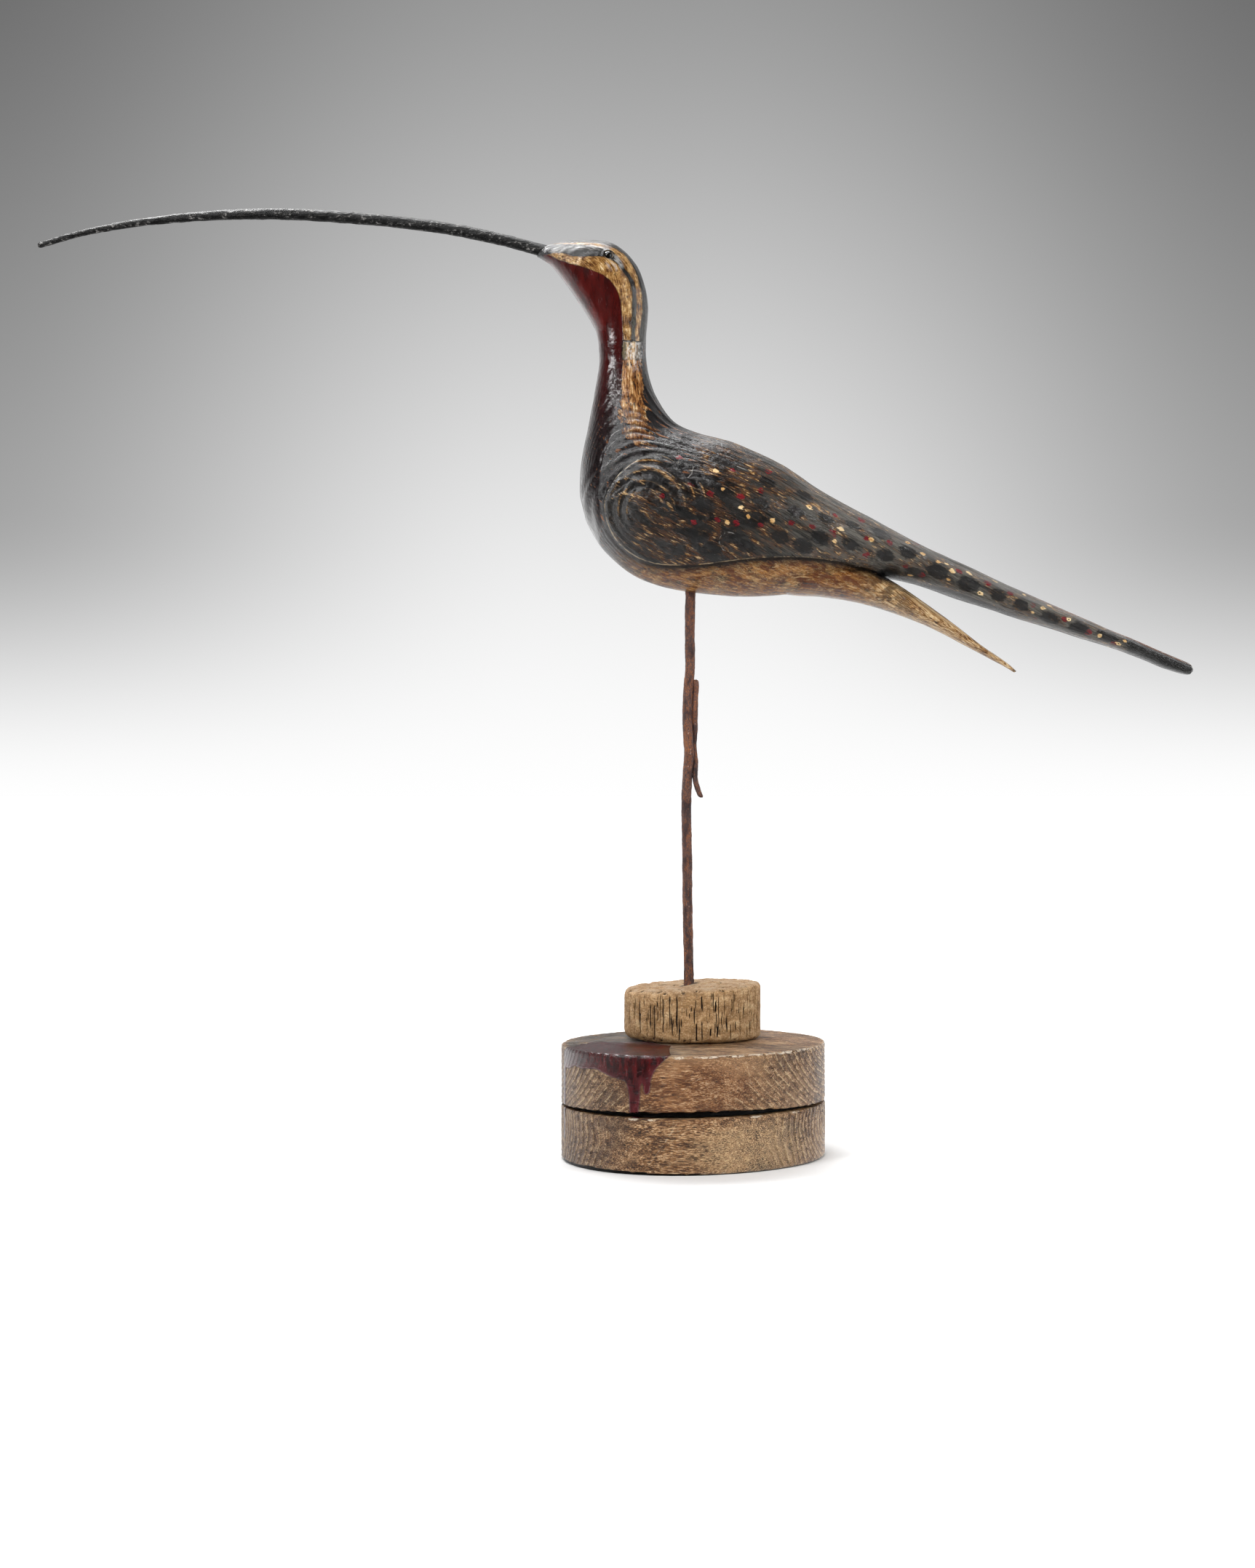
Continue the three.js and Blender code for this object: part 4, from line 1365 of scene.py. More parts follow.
def between(value, low, high, start=0.0, stop=1.0):
    """A value that runs evenly from low to high while another runs from start to stop."""
    inputs = {"Value": value, "From Min": start, "From Max": stop, "To Min": low, "To Max": high}
    return node("MapRange", inputs)


def stored(name, output="Fac"):
    """What the mesh keeps at its points under a name."""
    return node("Attribute", {}, output=output, attribute_name=name)


def place_in_mm():
    """Where a point is on the object, in millimetres."""
    return node("Mapping", {"Vector": node("TexCoord", {}, output="Object"), "Scale": (1000, 1000, 1000)})


def part(vector, name):
    """One of the three numbers of a vector."""
    return node("SeparateXYZ", {"Vector": vector}, output=name)


def stretched(vector, sizes, shift=0.0):
    """The vector measured in lumps of the given sizes, so that noise on it has lumps of those sizes."""
    scale = tuple(1 / size for size in sizes)
    return node("Mapping", {"Vector": vector, "Scale": scale, "Location": (shift, shift * 1.7, shift * 2.3)})


def near_spot(here, middle, size):
    """1 round a place in mm, fading out at the given sizes."""
    away = node("VectorMath", {0: here, 1: middle}, operation="SUBTRACT")
    return band(node("VectorMath", {0: stretched(away, size)}, output="Value", operation="LENGTH"), 1.0, 0.5)


def lumps(vector, sizes, detail=3.0, roughness=0.55, shift=0.0, distortion=0.0):
    """Noise from 0 to 1, around 0.5, in lumps of so many mm, with so many finer layers and their strength."""
    inputs = {"Vector": stretched(vector, sizes, shift), "Scale": 1.0, "Detail": detail,
              "Roughness": roughness, "Distortion": distortion}
    return node("TexNoise", inputs)


def ramp(value, stops):
    """Colours along a value, from pairs of a place and a colour code."""
    made = node("ValToRGB", {"Fac": value})
    elements = made.socket.node.color_ramp.elements
    while len(elements) < len(stops):
        elements.new(1.0)
    for element, (place, code) in zip(elements, stops):
        element.position = place
        element.color = colour(code)
    return made


def bumped(height, depth_mm):
    """A normal from a height of 0 to 1 that stands for a relief of so many millimetres."""
    return node("Bump", {"Height": height, "Distance": depth_mm * MM, "Strength": 1.0})


def new_material(name):
    """Starts a material, and gives back it and the inputs of its shader."""
    made = bpy.data.materials.new(name)
    made.use_nodes = True
    recipe["tree"] = made.node_tree
    return made, made.node_tree.nodes["Principled BSDF"].inputs


def wear(material, *pieces):
    """Gives pieces their material."""
    for piece in pieces:
        piece.data.materials.clear()
        piece.data.materials.append(material)


print("a warm brown:", [round(value, 3) for value in colour("7a4a20")])

# %% [markdown]
# Effects that several materials need are node groups: a box of nodes with named inputs and outputs. Four
# are enough here: year rings, streaks along the grain, ragged borders of paint, and crackle.

# %% Helpers for node groups
def new_group(name, inputs, outputs):
    """Starts a group. Inputs are names with a default number or vector, outputs are names."""
    group = bpy.data.node_groups.new(name, "ShaderNodeTree")
    for label, default in inputs.items():
        kind = "NodeSocketVector" if isinstance(default, tuple) else "NodeSocketFloat"
        group.interface.new_socket(label, in_out="INPUT", socket_type=kind).default_value = default
    for label in outputs:
        group.interface.new_socket(label, in_out="OUTPUT", socket_type="NodeSocketFloat")
    recipe["tree"] = group
    start = group.nodes.new("NodeGroupInput").outputs
    return group, {name: Value(start[name]) for name in inputs}, group.nodes.new("NodeGroupOutput").inputs


def use(group, inputs):
    """Places a group and gives back its outputs."""
    placed = node("Group", inputs, node_tree=group).socket.node
    return {socket.name: Value(socket) for socket in placed.outputs}


def border(distance, vector, raggedness, softness=0.15):
    """The ragged border of a painted area, from the distance inside its outline."""
    inputs = {"Distance": distance, "Vector": vector, "Raggedness": raggedness, "Softness": softness}
    return use(border_group, inputs)


# %% Group: year rings
def build_ring_group():
    """Ridge rises through each ring and drops after it, Line is its late wood, Share is the place in it."""
    inputs = {"Rings": 0.0, "Vector": (0, 0, 0)}
    group, given, result = new_group("year rings", inputs, ["Ridge", "Line", "Share"])
    share = calc("FRACT", given["Rings"] + (lumps(given["Vector"], (9, 3, 3), 2) - 0.5) * 0.22)
    feed(result["Ridge"], band(share, 0.0, 0.7) * band(share, 1.0, 0.82))
    feed(result["Line"], band(share, 0.62, 0.78) * band(share, 0.98, 0.86))
    feed(result["Share"], share)
    return group


ring_group = build_ring_group()

# %% Group: streaks along the grain
def build_streak_group():
    """Long thin marks. The vector's first axis runs along the grain, in millimetres."""
    inputs = {"Vector": (0, 0, 0), "Seed": 0.0}
    group, given, result = new_group("streaks", inputs, ["Fine", "Broad", "Fleck"])
    seeds = node("CombineXYZ", {axis: given["Seed"] for axis in "XYZ"})
    moved = node("VectorMath", {0: given["Vector"], 1: seeds}, operation="ADD")
    feed(result["Fine"], band(lumps(moved, (7, 0.55, 0.9), 3, 0.6), 0.32, 0.68))
    feed(result["Broad"], band(lumps(moved, (26, 2.6, 3.4), 3, 0.55, shift=9), 0.3, 0.7))
    feed(result["Fleck"], band(lumps(moved, (3.2, 0.8, 1.0), 2, 0.6, shift=21), 0.6, 0.72))
    return group


streak_group = build_streak_group()

# %% Group: the ragged border of a painted area
def build_border_group():
    """Mask is 1 inside. Raggedness is how far the edge wanders, in millimetres."""
    inputs = {"Distance": 0.0, "Vector": (0, 0, 0), "Raggedness": 1.0, "Softness": 0.15}
    group, given, result = new_group("ragged border", inputs, ["Mask", "Rim"])
    coarse = lumps(given["Vector"], (4, 1.6, 1.6), 4, 0.65) - 0.5
    moved = given["Distance"] + coarse * given["Raggedness"] * 3.0
    feed(result["Mask"], band(moved, given["Softness"] * -1.0, given["Softness"]))
    feed(result["Rim"], band(abs(moved), 0.9, 0.1))
    return group


border_group = build_border_group()

# %% Group: crackle in old paint and varnish
def build_crackle_group():
    group, given, result = new_group("crackle", {"Vector": (0, 0, 0), "Width": 0.08}, ["Cracks", "Islands"])
    warp = lumps(given["Vector"], (5, 5, 5), 2) * 0.35
    shift = node("VectorMath", {0: given["Vector"], "Scale": warp}, operation="SCALE")
    edges = node("TexVoronoi", {"Vector": shift, "Scale": 0.45}, feature="DISTANCE_TO_EDGE")
    feed(result["Cracks"], band(edges, given["Width"], 0.0))
    islands = node("TexVoronoi", {"Vector": shift, "Scale": 0.45}, output="Color")
    feed(result["Islands"], node("SeparateColor", {"Color": islands}))
    return group


crackle_group = build_crackle_group()
print("node groups:", [group.name for group in bpy.data.node_groups])

# %% [markdown]
# ## Old oak
#
# The blocks are golden brown where they were rubbed, dark in their pores and pale on ridges and rims where
# dust and wear sit; along the top rim that pale line is also a painted highlight. The pores and fibres run
# along the plank, so they are dashes in front and dots at the ends. The year rings are thin pale lines at
# both ends, where the plank was cut across. The spilt paint lies over all of it, deep and glossy, with a
# paler border where it ran thin. Painted shade darkens the wood just outside the paint's edge and the gap
# where the blocks part at the front.

# %% The bare oak
def oak_colour(here, rings, mottle):
    """The wood before wear: flame-like fibres, large calm tones, and the furrows and crests of the rings."""
    fibre = lumps(here, (4.0, 0.45, 0.45), 4, 0.7, shift=17, distortion=0.4)
    tone = lumps(here, (55, 20, 20), 3, 0.55)
    stops = [(0.39, "180d06"), (0.45, "432713"), (0.495, "734a27"), (0.54, "a5784a"), (0.605, "dfc299")]
    wood = ramp(fibre * 0.68 + mottle * 0.32, stops)
    wood = mix(band(tone, 0.5, 0.66) * 0.5, wood, "a8825a")
    wood = mix(band(tone, 0.5, 0.34) * 0.55, wood, "3f2a19")
    rubbed = near_spot(here, (42, -80, 14), (52, 60, 22))
    wood = mix(rubbed * band(fibre, 0.44, 0.58) * 0.5, wood, "dfc293")
    stained = near_spot(here, (2, -80, 50), (55, 60, 24))
    wood = mix(stained * 0.28, wood, "80430f")
    spread, calm = stored("spread"), stored("calm")
    at_ends = band(spread, 6.6, 4.2) * band(calm, 0.1, 0.6)
    wood = mix(band(rings["Ridge"], 0.5, 0.1) * at_ends * 0.4, wood, "2a1a0f")
    line = band(abs(rings["Share"] - 0.8) * spread, 0.45, 0.1) * at_ends * band(mottle, 0.42, 0.56) * 0.78
    return mix(line, wood, "c9b28c"), fibre


def rim_wear_and_highlight(here, height, inward):
    """Pale wear along both worn edges of the upper block and the lower edge of the lower one. Along the top
    rim it is also a painted highlight.
    """
    ragged = lumps(here, (4, 4, 1.2), 5, 0.75, shift=40)
    # Along the top rim the pale line is worn wood, and also a painted highlight on the rounded edge.
    top = band(abs(height - rim_top / MM), 1.5, 0.1)
    top = top * band(inward, 2.2, 0.8) * band(ragged, 0.47, 0.56) * 0.75
    low = band(height, 2.4, 0.4) * band(inward, 3.0, 0.4) * band(ragged, 0.52, 0.66)
    broken = band(stored("chipped"), 0.2, 0.5) * band(ragged, 0.46, 0.54)
    return calc("MAXIMUM", calc("MAXIMUM", top, broken), low * 0.7)


def spilt_paint(here, height, distance, mottle, rings):
    """Deep red paint: darker and streaky on top, a little paler where it ran thin down the side."""
    streaks = lumps(here, (3, 3, 12), 4, 0.65, shift=5)
    paint = ramp(streaks, [(0.32, "120303"), (0.5, "36080a"), (0.62, "500d0f"), (0.76, "5f2225")])
    drawn_out = band(height, rim_top / MM + 0.5, rim_top / MM - 8)
    paint = mix(band(distance, 5.5, 0.3) * drawn_out * 0.45, paint, "5c262b")
    paint = mix(band(distance, 0.75, 0.2) * drawn_out * band(mottle, 0.4, 0.55) * 0.5, paint, "7a5458")
    paint = mix(band(lumps(here, (7, 7, 3), 4, shift=8), 0.54, 0.66) * 0.6, paint, "141011")
    return mix(rings["Line"] * band(mottle, 0.52, 0.62) * 0.35, paint, "6f5457"), streaks


# %% The oak material, with the spilt paint on it
def oak_material():
    made, shader = new_material("old_oak")
    here = place_in_mm()
    rings = use(ring_group, {"Rings": stored("rings"), "Vector": here})
    x_mm, height = part(here, "X"), part(here, "Z")
    inward = stored("inward")
    mottle = lumps(here, (15, 3.2, 3.2), 5, 0.66, shift=4, distortion=0.5)
    pores = lumps(here, (5, 0.5, 0.5), 2, 0.5, shift=13)
    pores = band(pores, 0.6, 0.66) * band(mottle, 0.62, 0.45)
    wood, fibre = oak_colour(here, rings, mottle)
    wood = mix(pores * 0.75, wood, "1c1109")
    wood = mix(band(stored("scratch"), 0.4, 0.1) * band(mottle, 0.4, 0.52) * 0.45, wood, "cbb594")
    # Pale worn rims and chips, with a painted highlight along the top rim.
    wood = mix(rim_wear_and_highlight(here, height, inward), wood, "d9cbb6")
    grey = band(inward, 1.5, 5) * band(x_mm, 12, -30) * band(mottle, 0.72, 0.5) * 0.9
    wood = mix(grey, wood, ramp(mottle, [(0.4, "231b14"), (0.6, "4d4136")]))
    wood = mix(band(lumps(here, (2.0, 2.0, 2.0), 4, 0.7, shift=31), 0.6, 0.7) * 0.6, wood, "2b1c10")

    distance = stored("paint")
    spilt = border(distance, here, 0.08)
    paint, streaks = spilt_paint(here, height, distance, mottle, rings)
    # Painted shade: darker wood just outside the paint's edge, where the raised paint would shade it.
    wood = mix(band(distance, -0.9, -0.1) * 0.55, wood, "20120c")
    wood = mix(spilt["Mask"], wood, paint)
    # Painted shade: near-black where the joint between the blocks gapes open at the front.
    wood = mix(band(stored("opened"), 0.25, 0.8), wood, "050403")
    wood = mix(band(x_mm, -20, -75) * 0.38, wood, "160f0b")
    feed(shader["Base Color"], wood)

    on_top = band(inward, 1.5, 5) * band(x_mm, 20, -20) * 0.35
    dull = between(mottle, 0.5, 0.3) + on_top * -0.3
    glossy = between(streaks, 0.12, 0.36) + on_top * -0.2
    feed(shader["Roughness"], node("Mix", {0: spilt["Mask"], 2: dull, 3: glossy}, data_type="FLOAT"))
    fine = fibre * 1.1 + pores * -0.5 + mottle * 0.7
    feed(shader["Normal"], bumped(fine * (1.0 - spilt["Mask"] * 0.75), 0.55))
    return made


wear(oak_material(), lower_oak_block, upper_oak_block)

# %% [markdown]
# ## Cork and rusty iron
#
# Cork is tan with darker growth layers, a greyer worn top and black fissures. The mesh has its own deep
# cuts, and the material adds hundreds of hairline ones by thresholding noise that is stretched upright.
# Painted shade darkens the top round the rod's hole.

# %% The cork material
def cork_material():
    made, shader = new_material("old_cork")
    here = place_in_mm()
    cut, top = stored("cut"), stored("top")
    patch = lumps(here, (9, 9, 5), 5, 0.65)
    grit = lumps(here, (0.9, 0.9, 0.9), 3, 0.6, shift=7)
    skin_colour = ramp(patch, [(0.3, "6f5233"), (0.45, "96734a"), (0.56, "af8c62"), (0.72, "cdb187")])
    skin_colour = mix(band(grit, 0.48, 0.62) * 0.5, skin_colour, "80603f")
    speckle = lumps(here, (1.1, 1.1, 0.9), 4, 0.7, shift=37)
    skin_colour = mix(band(speckle, 0.53, 0.63) * 0.35, skin_colour, "dcc29a")
    skin_colour = mix(band(speckle, 0.46, 0.36) * 0.45, skin_colour, "6b4a2a")
    layers = lumps(here, (16, 16, 0.8), 3, 0.6, shift=11)
    skin_colour = mix(band(layers, 0.56, 0.68) * 0.4, skin_colour, "6e4d31")
    skin_colour = mix(top * band(patch, 0.35, 0.6) * 0.6, skin_colour, "8b7963")
    hairline = lumps(here, (0.55, 0.55, 7), 2, 0.5, shift=19)
    crowd = lumps(here, (12, 12, 12), 2, shift=23)
    upright = 1.0 - top
    hairline = band(hairline, 0.66, 0.72) * band(crowd, 0.42, 0.6) * upright
    specks = band(lumps(here, (1.1, 1.1, 1.8), 2, shift=29), 0.68, 0.74)
    dark = calc("MAXIMUM", band(cut, 0.3, 0.9), calc("MAXIMUM", hairline, specks * 0.8) * 0.9)
    # Painted shade: dark brown on the top round the rod's hole, where shade falls in the recess.
    flat = node("VectorMath", {0: here, 1: (1, 1, 0)}, operation="MULTIPLY")
    hole_shade = band(node("VectorMath", {0: flat}, output="Value", operation="LENGTH"), 8, 4.5) * top * 0.85
    skin_colour = mix(hole_shade, skin_colour, "2e1d12")
    feed(shader["Base Color"], mix(dark, skin_colour, "1a0f08"))
    feed(shader["Roughness"], between(patch, 0.95, 0.75))
    feed(shader["Normal"], bumped(grit + layers * 0.4 - dark * 1.2, 0.5))
    return made


wear(cork_material(), cork_net_float)

# %% The iron material
def iron_material():
    made, shader = new_material("rusted_iron")
    here = place_in_mm()
    patch = lumps(here, (5, 5, 16), 5, 0.65)
    speck = lumps(here, (0.7, 0.7, 1.0), 4, 0.75, shift=3)
    rust_colour = ramp(patch, [(0.32, "2c1d1b"), (0.46, "45302c"), (0.58, "5d4036"), (0.72, "74492f")])
    rust_colour = mix(band(speck, 0.5, 0.62) * band(patch, 0.4, 0.58) * 0.75, rust_colour, "a5602a")
    rust_colour = mix(band(speck, 0.47, 0.36) * 0.8, rust_colour, "20151a")
    flaked = lumps(here, (1.3, 1.3, 2.4), 4, 0.65, shift=33)
    rust_colour = mix(band(flaked, 0.55, 0.62) * 0.55, rust_colour, "7d4a2b")
    pale = band(lumps(here, (1.6, 1.6, 4), 3, shift=15), 0.66, 0.74)
    rust_colour = mix(pale * 0.6, rust_colour, "b59a8c")
    feed(shader["Base Color"], rust_colour)
    feed(shader["Metallic"], between(stored("flakes"), 0.0, 0.25))
    feed(shader["Roughness"], between(speck, 0.55, 0.9, 0.3, 0.7))
    feed(shader["Normal"], bumped(speck + patch * 0.6, 0.35))
    return made


wear(iron_material(), iron_rod, iron_spur)

# %% [markdown]
# ## The bird's paint
#
# The bird was painted in thin layers over golden wood: ochre, then charcoal and dark red, then the feather
# marks, and varnish over all. A century of hands rubbed the upper layers through on every ridge. So each
# material stacks colours in the same order, from the wood up, and a mask says where the layer above has
# worn away. A few masks paint light instead: painted shade in the wing's groove, under its edge, in the
# furrows round its bend and in the crotch under the tail, and painted highlights on the wing's edge, the
# head, the neck's repair and the bill.

# %% Colours that the body and head share
def ochre_wood(flow, streaks):
    """Bare and ochre-stained wood: cream, tan, orange-brown and dark streaks along the grain."""
    patch = lumps(flow, (30, 5, 7), 4, 0.62, shift=2)
    stops = [(0.15, "1a0e06"), (0.36, "4f2c0f"), (0.5, "875522"), (0.64, "b0823f"), (0.85, "dcbf8c")]
    return mix(streaks["Fleck"] * 0.75, ramp(streaks["Fine"] * 0.45 + patch * 0.6, stops), "1d1009")


def dark_paint(streaks, dark_code, pale_code):
    """Dark paint with brush streaks, between two codes."""
    return ramp(streaks["Fine"] * 0.5 + streaks["Broad"] * 0.5, [(0.15, dark_code), (0.9, pale_code)])


def red_paint(here):
    patch = lumps(here, (7, 7, 34), 4, 0.6, shift=14)
    red = ramp(patch, [(0.3, "210606"), (0.5, "3a0b09"), (0.7, "501310")])
    return mix(band(lumps(here, (1.6, 1.6, 2.4), 3, 0.6, shift=18), 0.68, 0.76) * 0.5, red, "6f5f62")


def varnish(shader, here, rubs, relief, depth_mm):
    """Roughness that changes from rubbed to dull, and the pits and lumps that break up every highlight."""
    feed(shader["Roughness"], between(rubs, 0.1, 0.3, 0.3, 0.7))
    pits = lumps(here, (3.0, 3.0, 3.0), 2, 0.5, shift=25)
    feed(shader["Normal"], bumped(relief + pits, depth_mm))


# %% The body, layer by layer
def breast_paint(streaks, rings, rubs):
    """Charcoal on the breast, nape and shoulder, rubbed orange-brown along the year rings."""
    dark = dark_paint(streaks, "070606", "1c1818")
    crest = band(rings["Ridge"], 0.6, 0.95) * band(rubs, 0.55, 0.66) * 0.75
    return mix(crest, dark, ramp(rubs, [(0.5, "4a2409"), (0.7, "8f5420")]))


def belly_paint(streaks, wood, rubs, crackle, here):
    """Thin brown over the wood, crackled, with a painted shadow just under the wing's edge."""
    brown = dark_paint(streaks, "120a05", "3d2009")
    belly = mix(0.3, mix(band(rubs, 0.43, 0.61), brown, wood), "85441a")
    belly = mix(band(lumps(here, (11, 11, 4), 5, 0.6, shift=62), 0.55, 0.63) * 0.75, belly, "160b06")
    belly = mix(band(lumps(here, (4.5, 4.5, 1.1), 4, 0.65, shift=63), 0.58, 0.64) * 0.55, belly, "c6a576")
    belly = mix(band(crackle["Islands"], 0.62, 0.8) * band(rubs, 0.4, 0.55) * 0.4, belly, "a57a42")
    cracked = band(lumps(here, (9, 9, 5), 3, shift=61), 0.46, 0.58)
    belly = mix(crackle["Cracks"] * cracked * 0.75, belly, "b79a68")
    # Painted shadow: near-black just below the wing's raised edge, fading downwards.
    return mix(band(stored("wing"), -5.5, -1.2) * 0.75, belly, "0f0905")


def wing_paint(flow, streaks, rubs, x_mm):
    """Charcoal in front, grey-olive towards the tail, rubbed through in streaks along the feathers, with
    painted shade in the furrows round the bend.
    """
    rear = band(x_mm, 10, 110)
    paint = mix(rear, dark_paint(streaks, "060606", "211f1d"), dark_paint(streaks, "24221f", "625e56"))
    rub = streaks["Fine"] * 0.5 + lumps(flow, (4, 1.5, 1.5), 4, 0.65, shift=57) * 0.8
    rubbed = ramp(rub, [(0.4, "1c1008"), (0.6, "6a411b"), (0.76, "a98450"), (0.9, "d0b587")])
    patch = lumps(flow, (19, 8, 9), 5, 0.65, shift=41)
    dashes = lumps(flow, (6, 1.6, 2.2), 5, 0.65, shift=52)
    behind_bend = between(x_mm, 0.2, 1, -50, -10)
    zone = stored("zone")
    behind_bend = behind_bend * (1.0 - zone * 0.75)
    brown = band(patch, 0.44, 0.58) * band(streaks["Fine"], 0.1, 0.7) * behind_bend * between(rear, 0.65, 0.4)
    paint = mix(brown, paint, "523015")
    dashes = band(dashes, 0.53, 0.59) * band(patch, 0.48, 0.58) * behind_bend * 0.9
    paint = mix(dashes, paint, rubbed)
    crest = band(stored("fold"), 0.75, 0.98) * band(rubs, 0.46, 0.54) * 0.85
    paint = mix(crest, paint, rubbed)
    turn = calc("FRACT", stored("swirl") + rubs * 0.2)
    furrow = 0.5 - abs(turn - 0.5)
    # Painted shade: near-black in the furrows of the swirl round the wing's bend.
    paint = mix(band(furrow, 0.25, 0.45) * zone * 0.6, paint, "030303")
    worn = band(furrow, 0.12, 0.04) * band(patch, 0.44, 0.56) * zone * band(x_mm, -50, -34) * 0.85
    paint = mix(worn, paint, rubbed)
    paint = mix(band(x_mm, 262, 268), paint, dark_paint(streaks, "0d0d0d", "2e2d2b"))
    crest = band(stored("height"), 0.66, 0.84) * band(x_mm, 185, 235)
    paint = mix(crest * band(rubs, 0.4, 0.54) * 0.8, paint, "6e4129")
    flecks = lumps(flow, (3, 0.9, 0.9), 3, 0.6, shift=55)
    return mix(crest * band(flecks, 0.6, 0.66) * 0.85, paint, "cbbba4")


def wing_line(base, wing, rubs):
    """Painted shade in the groove outside the wing's edge, and a pale line on the edge that is both worn
    paint and a painted highlight.
    """
    # Painted shade: near-black in the groove outside the wing's edge.
    base = mix(band(wing, -2.2, -0.5) * band(wing, 0.5, -0.3) * 0.85, base, "0a0706")
    towards_tail = band(part(place_in_mm(), "X"), 92, 62)
    # Pale line on the edge: worn paint, and a painted highlight where the raised edge catches the light.
    pale = band(wing, 0.05, 0.25) * band(wing, 0.7, 0.45) * towards_tail * band(rubs, 0.43, 0.6) * 0.65
    return mix(pale, base, "b09a78")


def feather_marks(base, here, streaks, rubs):
    dab = border(stored("dab"), here, 1.5, 0.8)
    base = mix(dab["Mask"] * 0.92, base, dark_paint(streaks, "050505", "1d1c1c"))
    base = mix(dab["Rim"] * dab["Mask"] * 0.3, base, "0b0b0b")
    reds = border(stored("red_dot"), here, 1.5)
    base = mix(reds["Mask"] * band(rubs, 0.34, 0.5), base, mix(streaks["Fine"], "3b080d", "78131b"))
    creams = border(stored("cream_dot"), here, 1.3)
    centre = band(stored("cream_dot"), 0.55, 0.9) * band(rubs, 0.5, 0.6)
    cream = mix(streaks["Broad"], "b98a4c", "e6cfa0")
    cream = mix(centre, cream, "3f2a16")
    return mix(creams["Mask"] * band(rubs, 0.3, 0.42), base, cream)


def neck_wood(here, rings, height):
    """Orange-brown wood with upright streaks above. Lower down it shows only on the crests of the rings."""
    upright = lumps(here, (0.8, 1.6, 10), 4, 0.62, shift=70)
    patch = lumps(here, (3.5, 3.5, 12), 4, 0.62, shift=71)
    stops = [(0.34, "1a0e06"), (0.43, "4e2d13"), (0.5, "84562b"), (0.57, "b08854"), (0.66, "e2cfac")]
    wood = ramp(upright * 0.5 + patch * 0.5, stops)
    wood = mix(band(lumps(here, (1.6, 1.6, 4.0), 3, 0.6, shift=72), 0.57, 0.65) * 0.85, wood, "0d0805")
    low = band(height, 462, 436)
    wood = mix(low * band(rings["Ridge"], 0.75, 0.35) * 0.85, wood, "120d0b")
    return mix(low * 0.4, wood, "4a240a")


def body_material():
    made, shader = new_material("painted_body")
    here, flow = place_in_mm(), stored("flow", "Vector")
    x_mm, height = part(here, "X"), part(here, "Z")
    rings = use(ring_group, {"Rings": stored("rings"), "Vector": here})
    streaks = use(streak_group, {"Vector": flow})
    crackle = use(crackle_group, {"Vector": stretched(flow, (1.6, 1, 1)), "Width": 0.09})
    rubs = lumps(flow, (13, 3.5, 5), 5, 0.65, shift=6)
    wing = stored("wing")
    wood = ochre_wood(flow, streaks)

    base = breast_paint(streaks, rings, rubs)
    under = band(x_mm, -52, -22) * band(height, 402, 380)
    base = mix(under, base, belly_paint(streaks, wood, rubs, crackle, here))
    base = mix(band(x_mm, 118, 135), base, dark_paint(streaks, "141312", "3d3b38"))
    wing_mask = border(wing, here, 0.08)["Mask"]
    wing_mask = wing_mask * band(stored("blend") + (rubs - 0.5), 0.2, 0.75)
    base = mix(wing_mask, base, wing_paint(flow, streaks, rubs, x_mm))
    base = wing_line(base, wing, rubs)

    fading = stored("bare") - band(height, 470, 425) * band(rubs, 0.6, 0.4) * 9.0
    bare = border(fading, here, 1.1, 0.6)
    base = mix(bare["Mask"], base, neck_wood(here, rings, height))
    red = border(stored("red"), here, 0.3)
    fresh = band(height, 425, 515)
    thin = between(fresh, 0.5, 1.0)
    oxblood = mix(fresh, dark_paint(streaks, "0b0606", "1d090d"), red_paint(here))
    base = mix(red["Mask"] * thin, base, oxblood)
    base = repair_band(base, here, rings, rubs)

    base = mix(stored("spike") * band(x_mm, 95, 125), base, spike_grain(here, x_mm))
    # Painted shadow: near-black in the crotch between the tail and the spike.
    crotch_shadow = near_spot(here, (121, 0, 353), (11, 60, 6))
    base = mix(crotch_shadow * 0.95, base, "040303")
    base = feather_marks(base, here, streaks, rubs)
    base = mix(band(stored("scratch"), 0.45, 0.1) * 0.5, base, "a3a09b")
    feed(shader["Base Color"], base)
    back = band(stored("height"), 0.3, 0.6) * band(x_mm, -60, -30)
    brushed = lumps(flow, (28, 1.5, 60), 3, 0.6, shift=85) * back * 2.2
    relief = streaks["Fine"] * (0.45 - back * 0.25) + rings["Ridge"] * (0.5 - back * 0.42)
    relief = relief + brushed - crackle["Cracks"] * under * 0.4
    varnish(shader, here, rubs, relief * (1.0 - red["Mask"] * 0.85), 0.3)
    return made


def spike_grain(here, x_mm):
    """Cream wood with brown lines along the spike, dark at the belly and worn grey at the tip."""
    turned = node("Mapping", {"Vector": here, "Rotation": (0, math.radians(-36), 0)})
    line = lumps(turned, (15, 0.6, 0.6), 4, 0.65, shift=75)
    patch = lumps(turned, (26, 3, 3), 4, 0.6, shift=76)
    stops = [(0.36, "1b0f07"), (0.43, "5f3b1c"), (0.49, "a27a4a"), (0.55, "c8aa7c"), (0.65, "e0cda8")]
    wood = ramp(line * 0.65 + patch * 0.35, stops)
    root = band(x_mm, 150, 112) * band(lumps(here, (7, 7, 4), 5, shift=82), 0.56, 0.44) * 0.85
    wood = mix(root, wood, "241409")
    tip = band(x_mm, 196, 201)
    return mix(tip * 0.8, wood, "625a50")


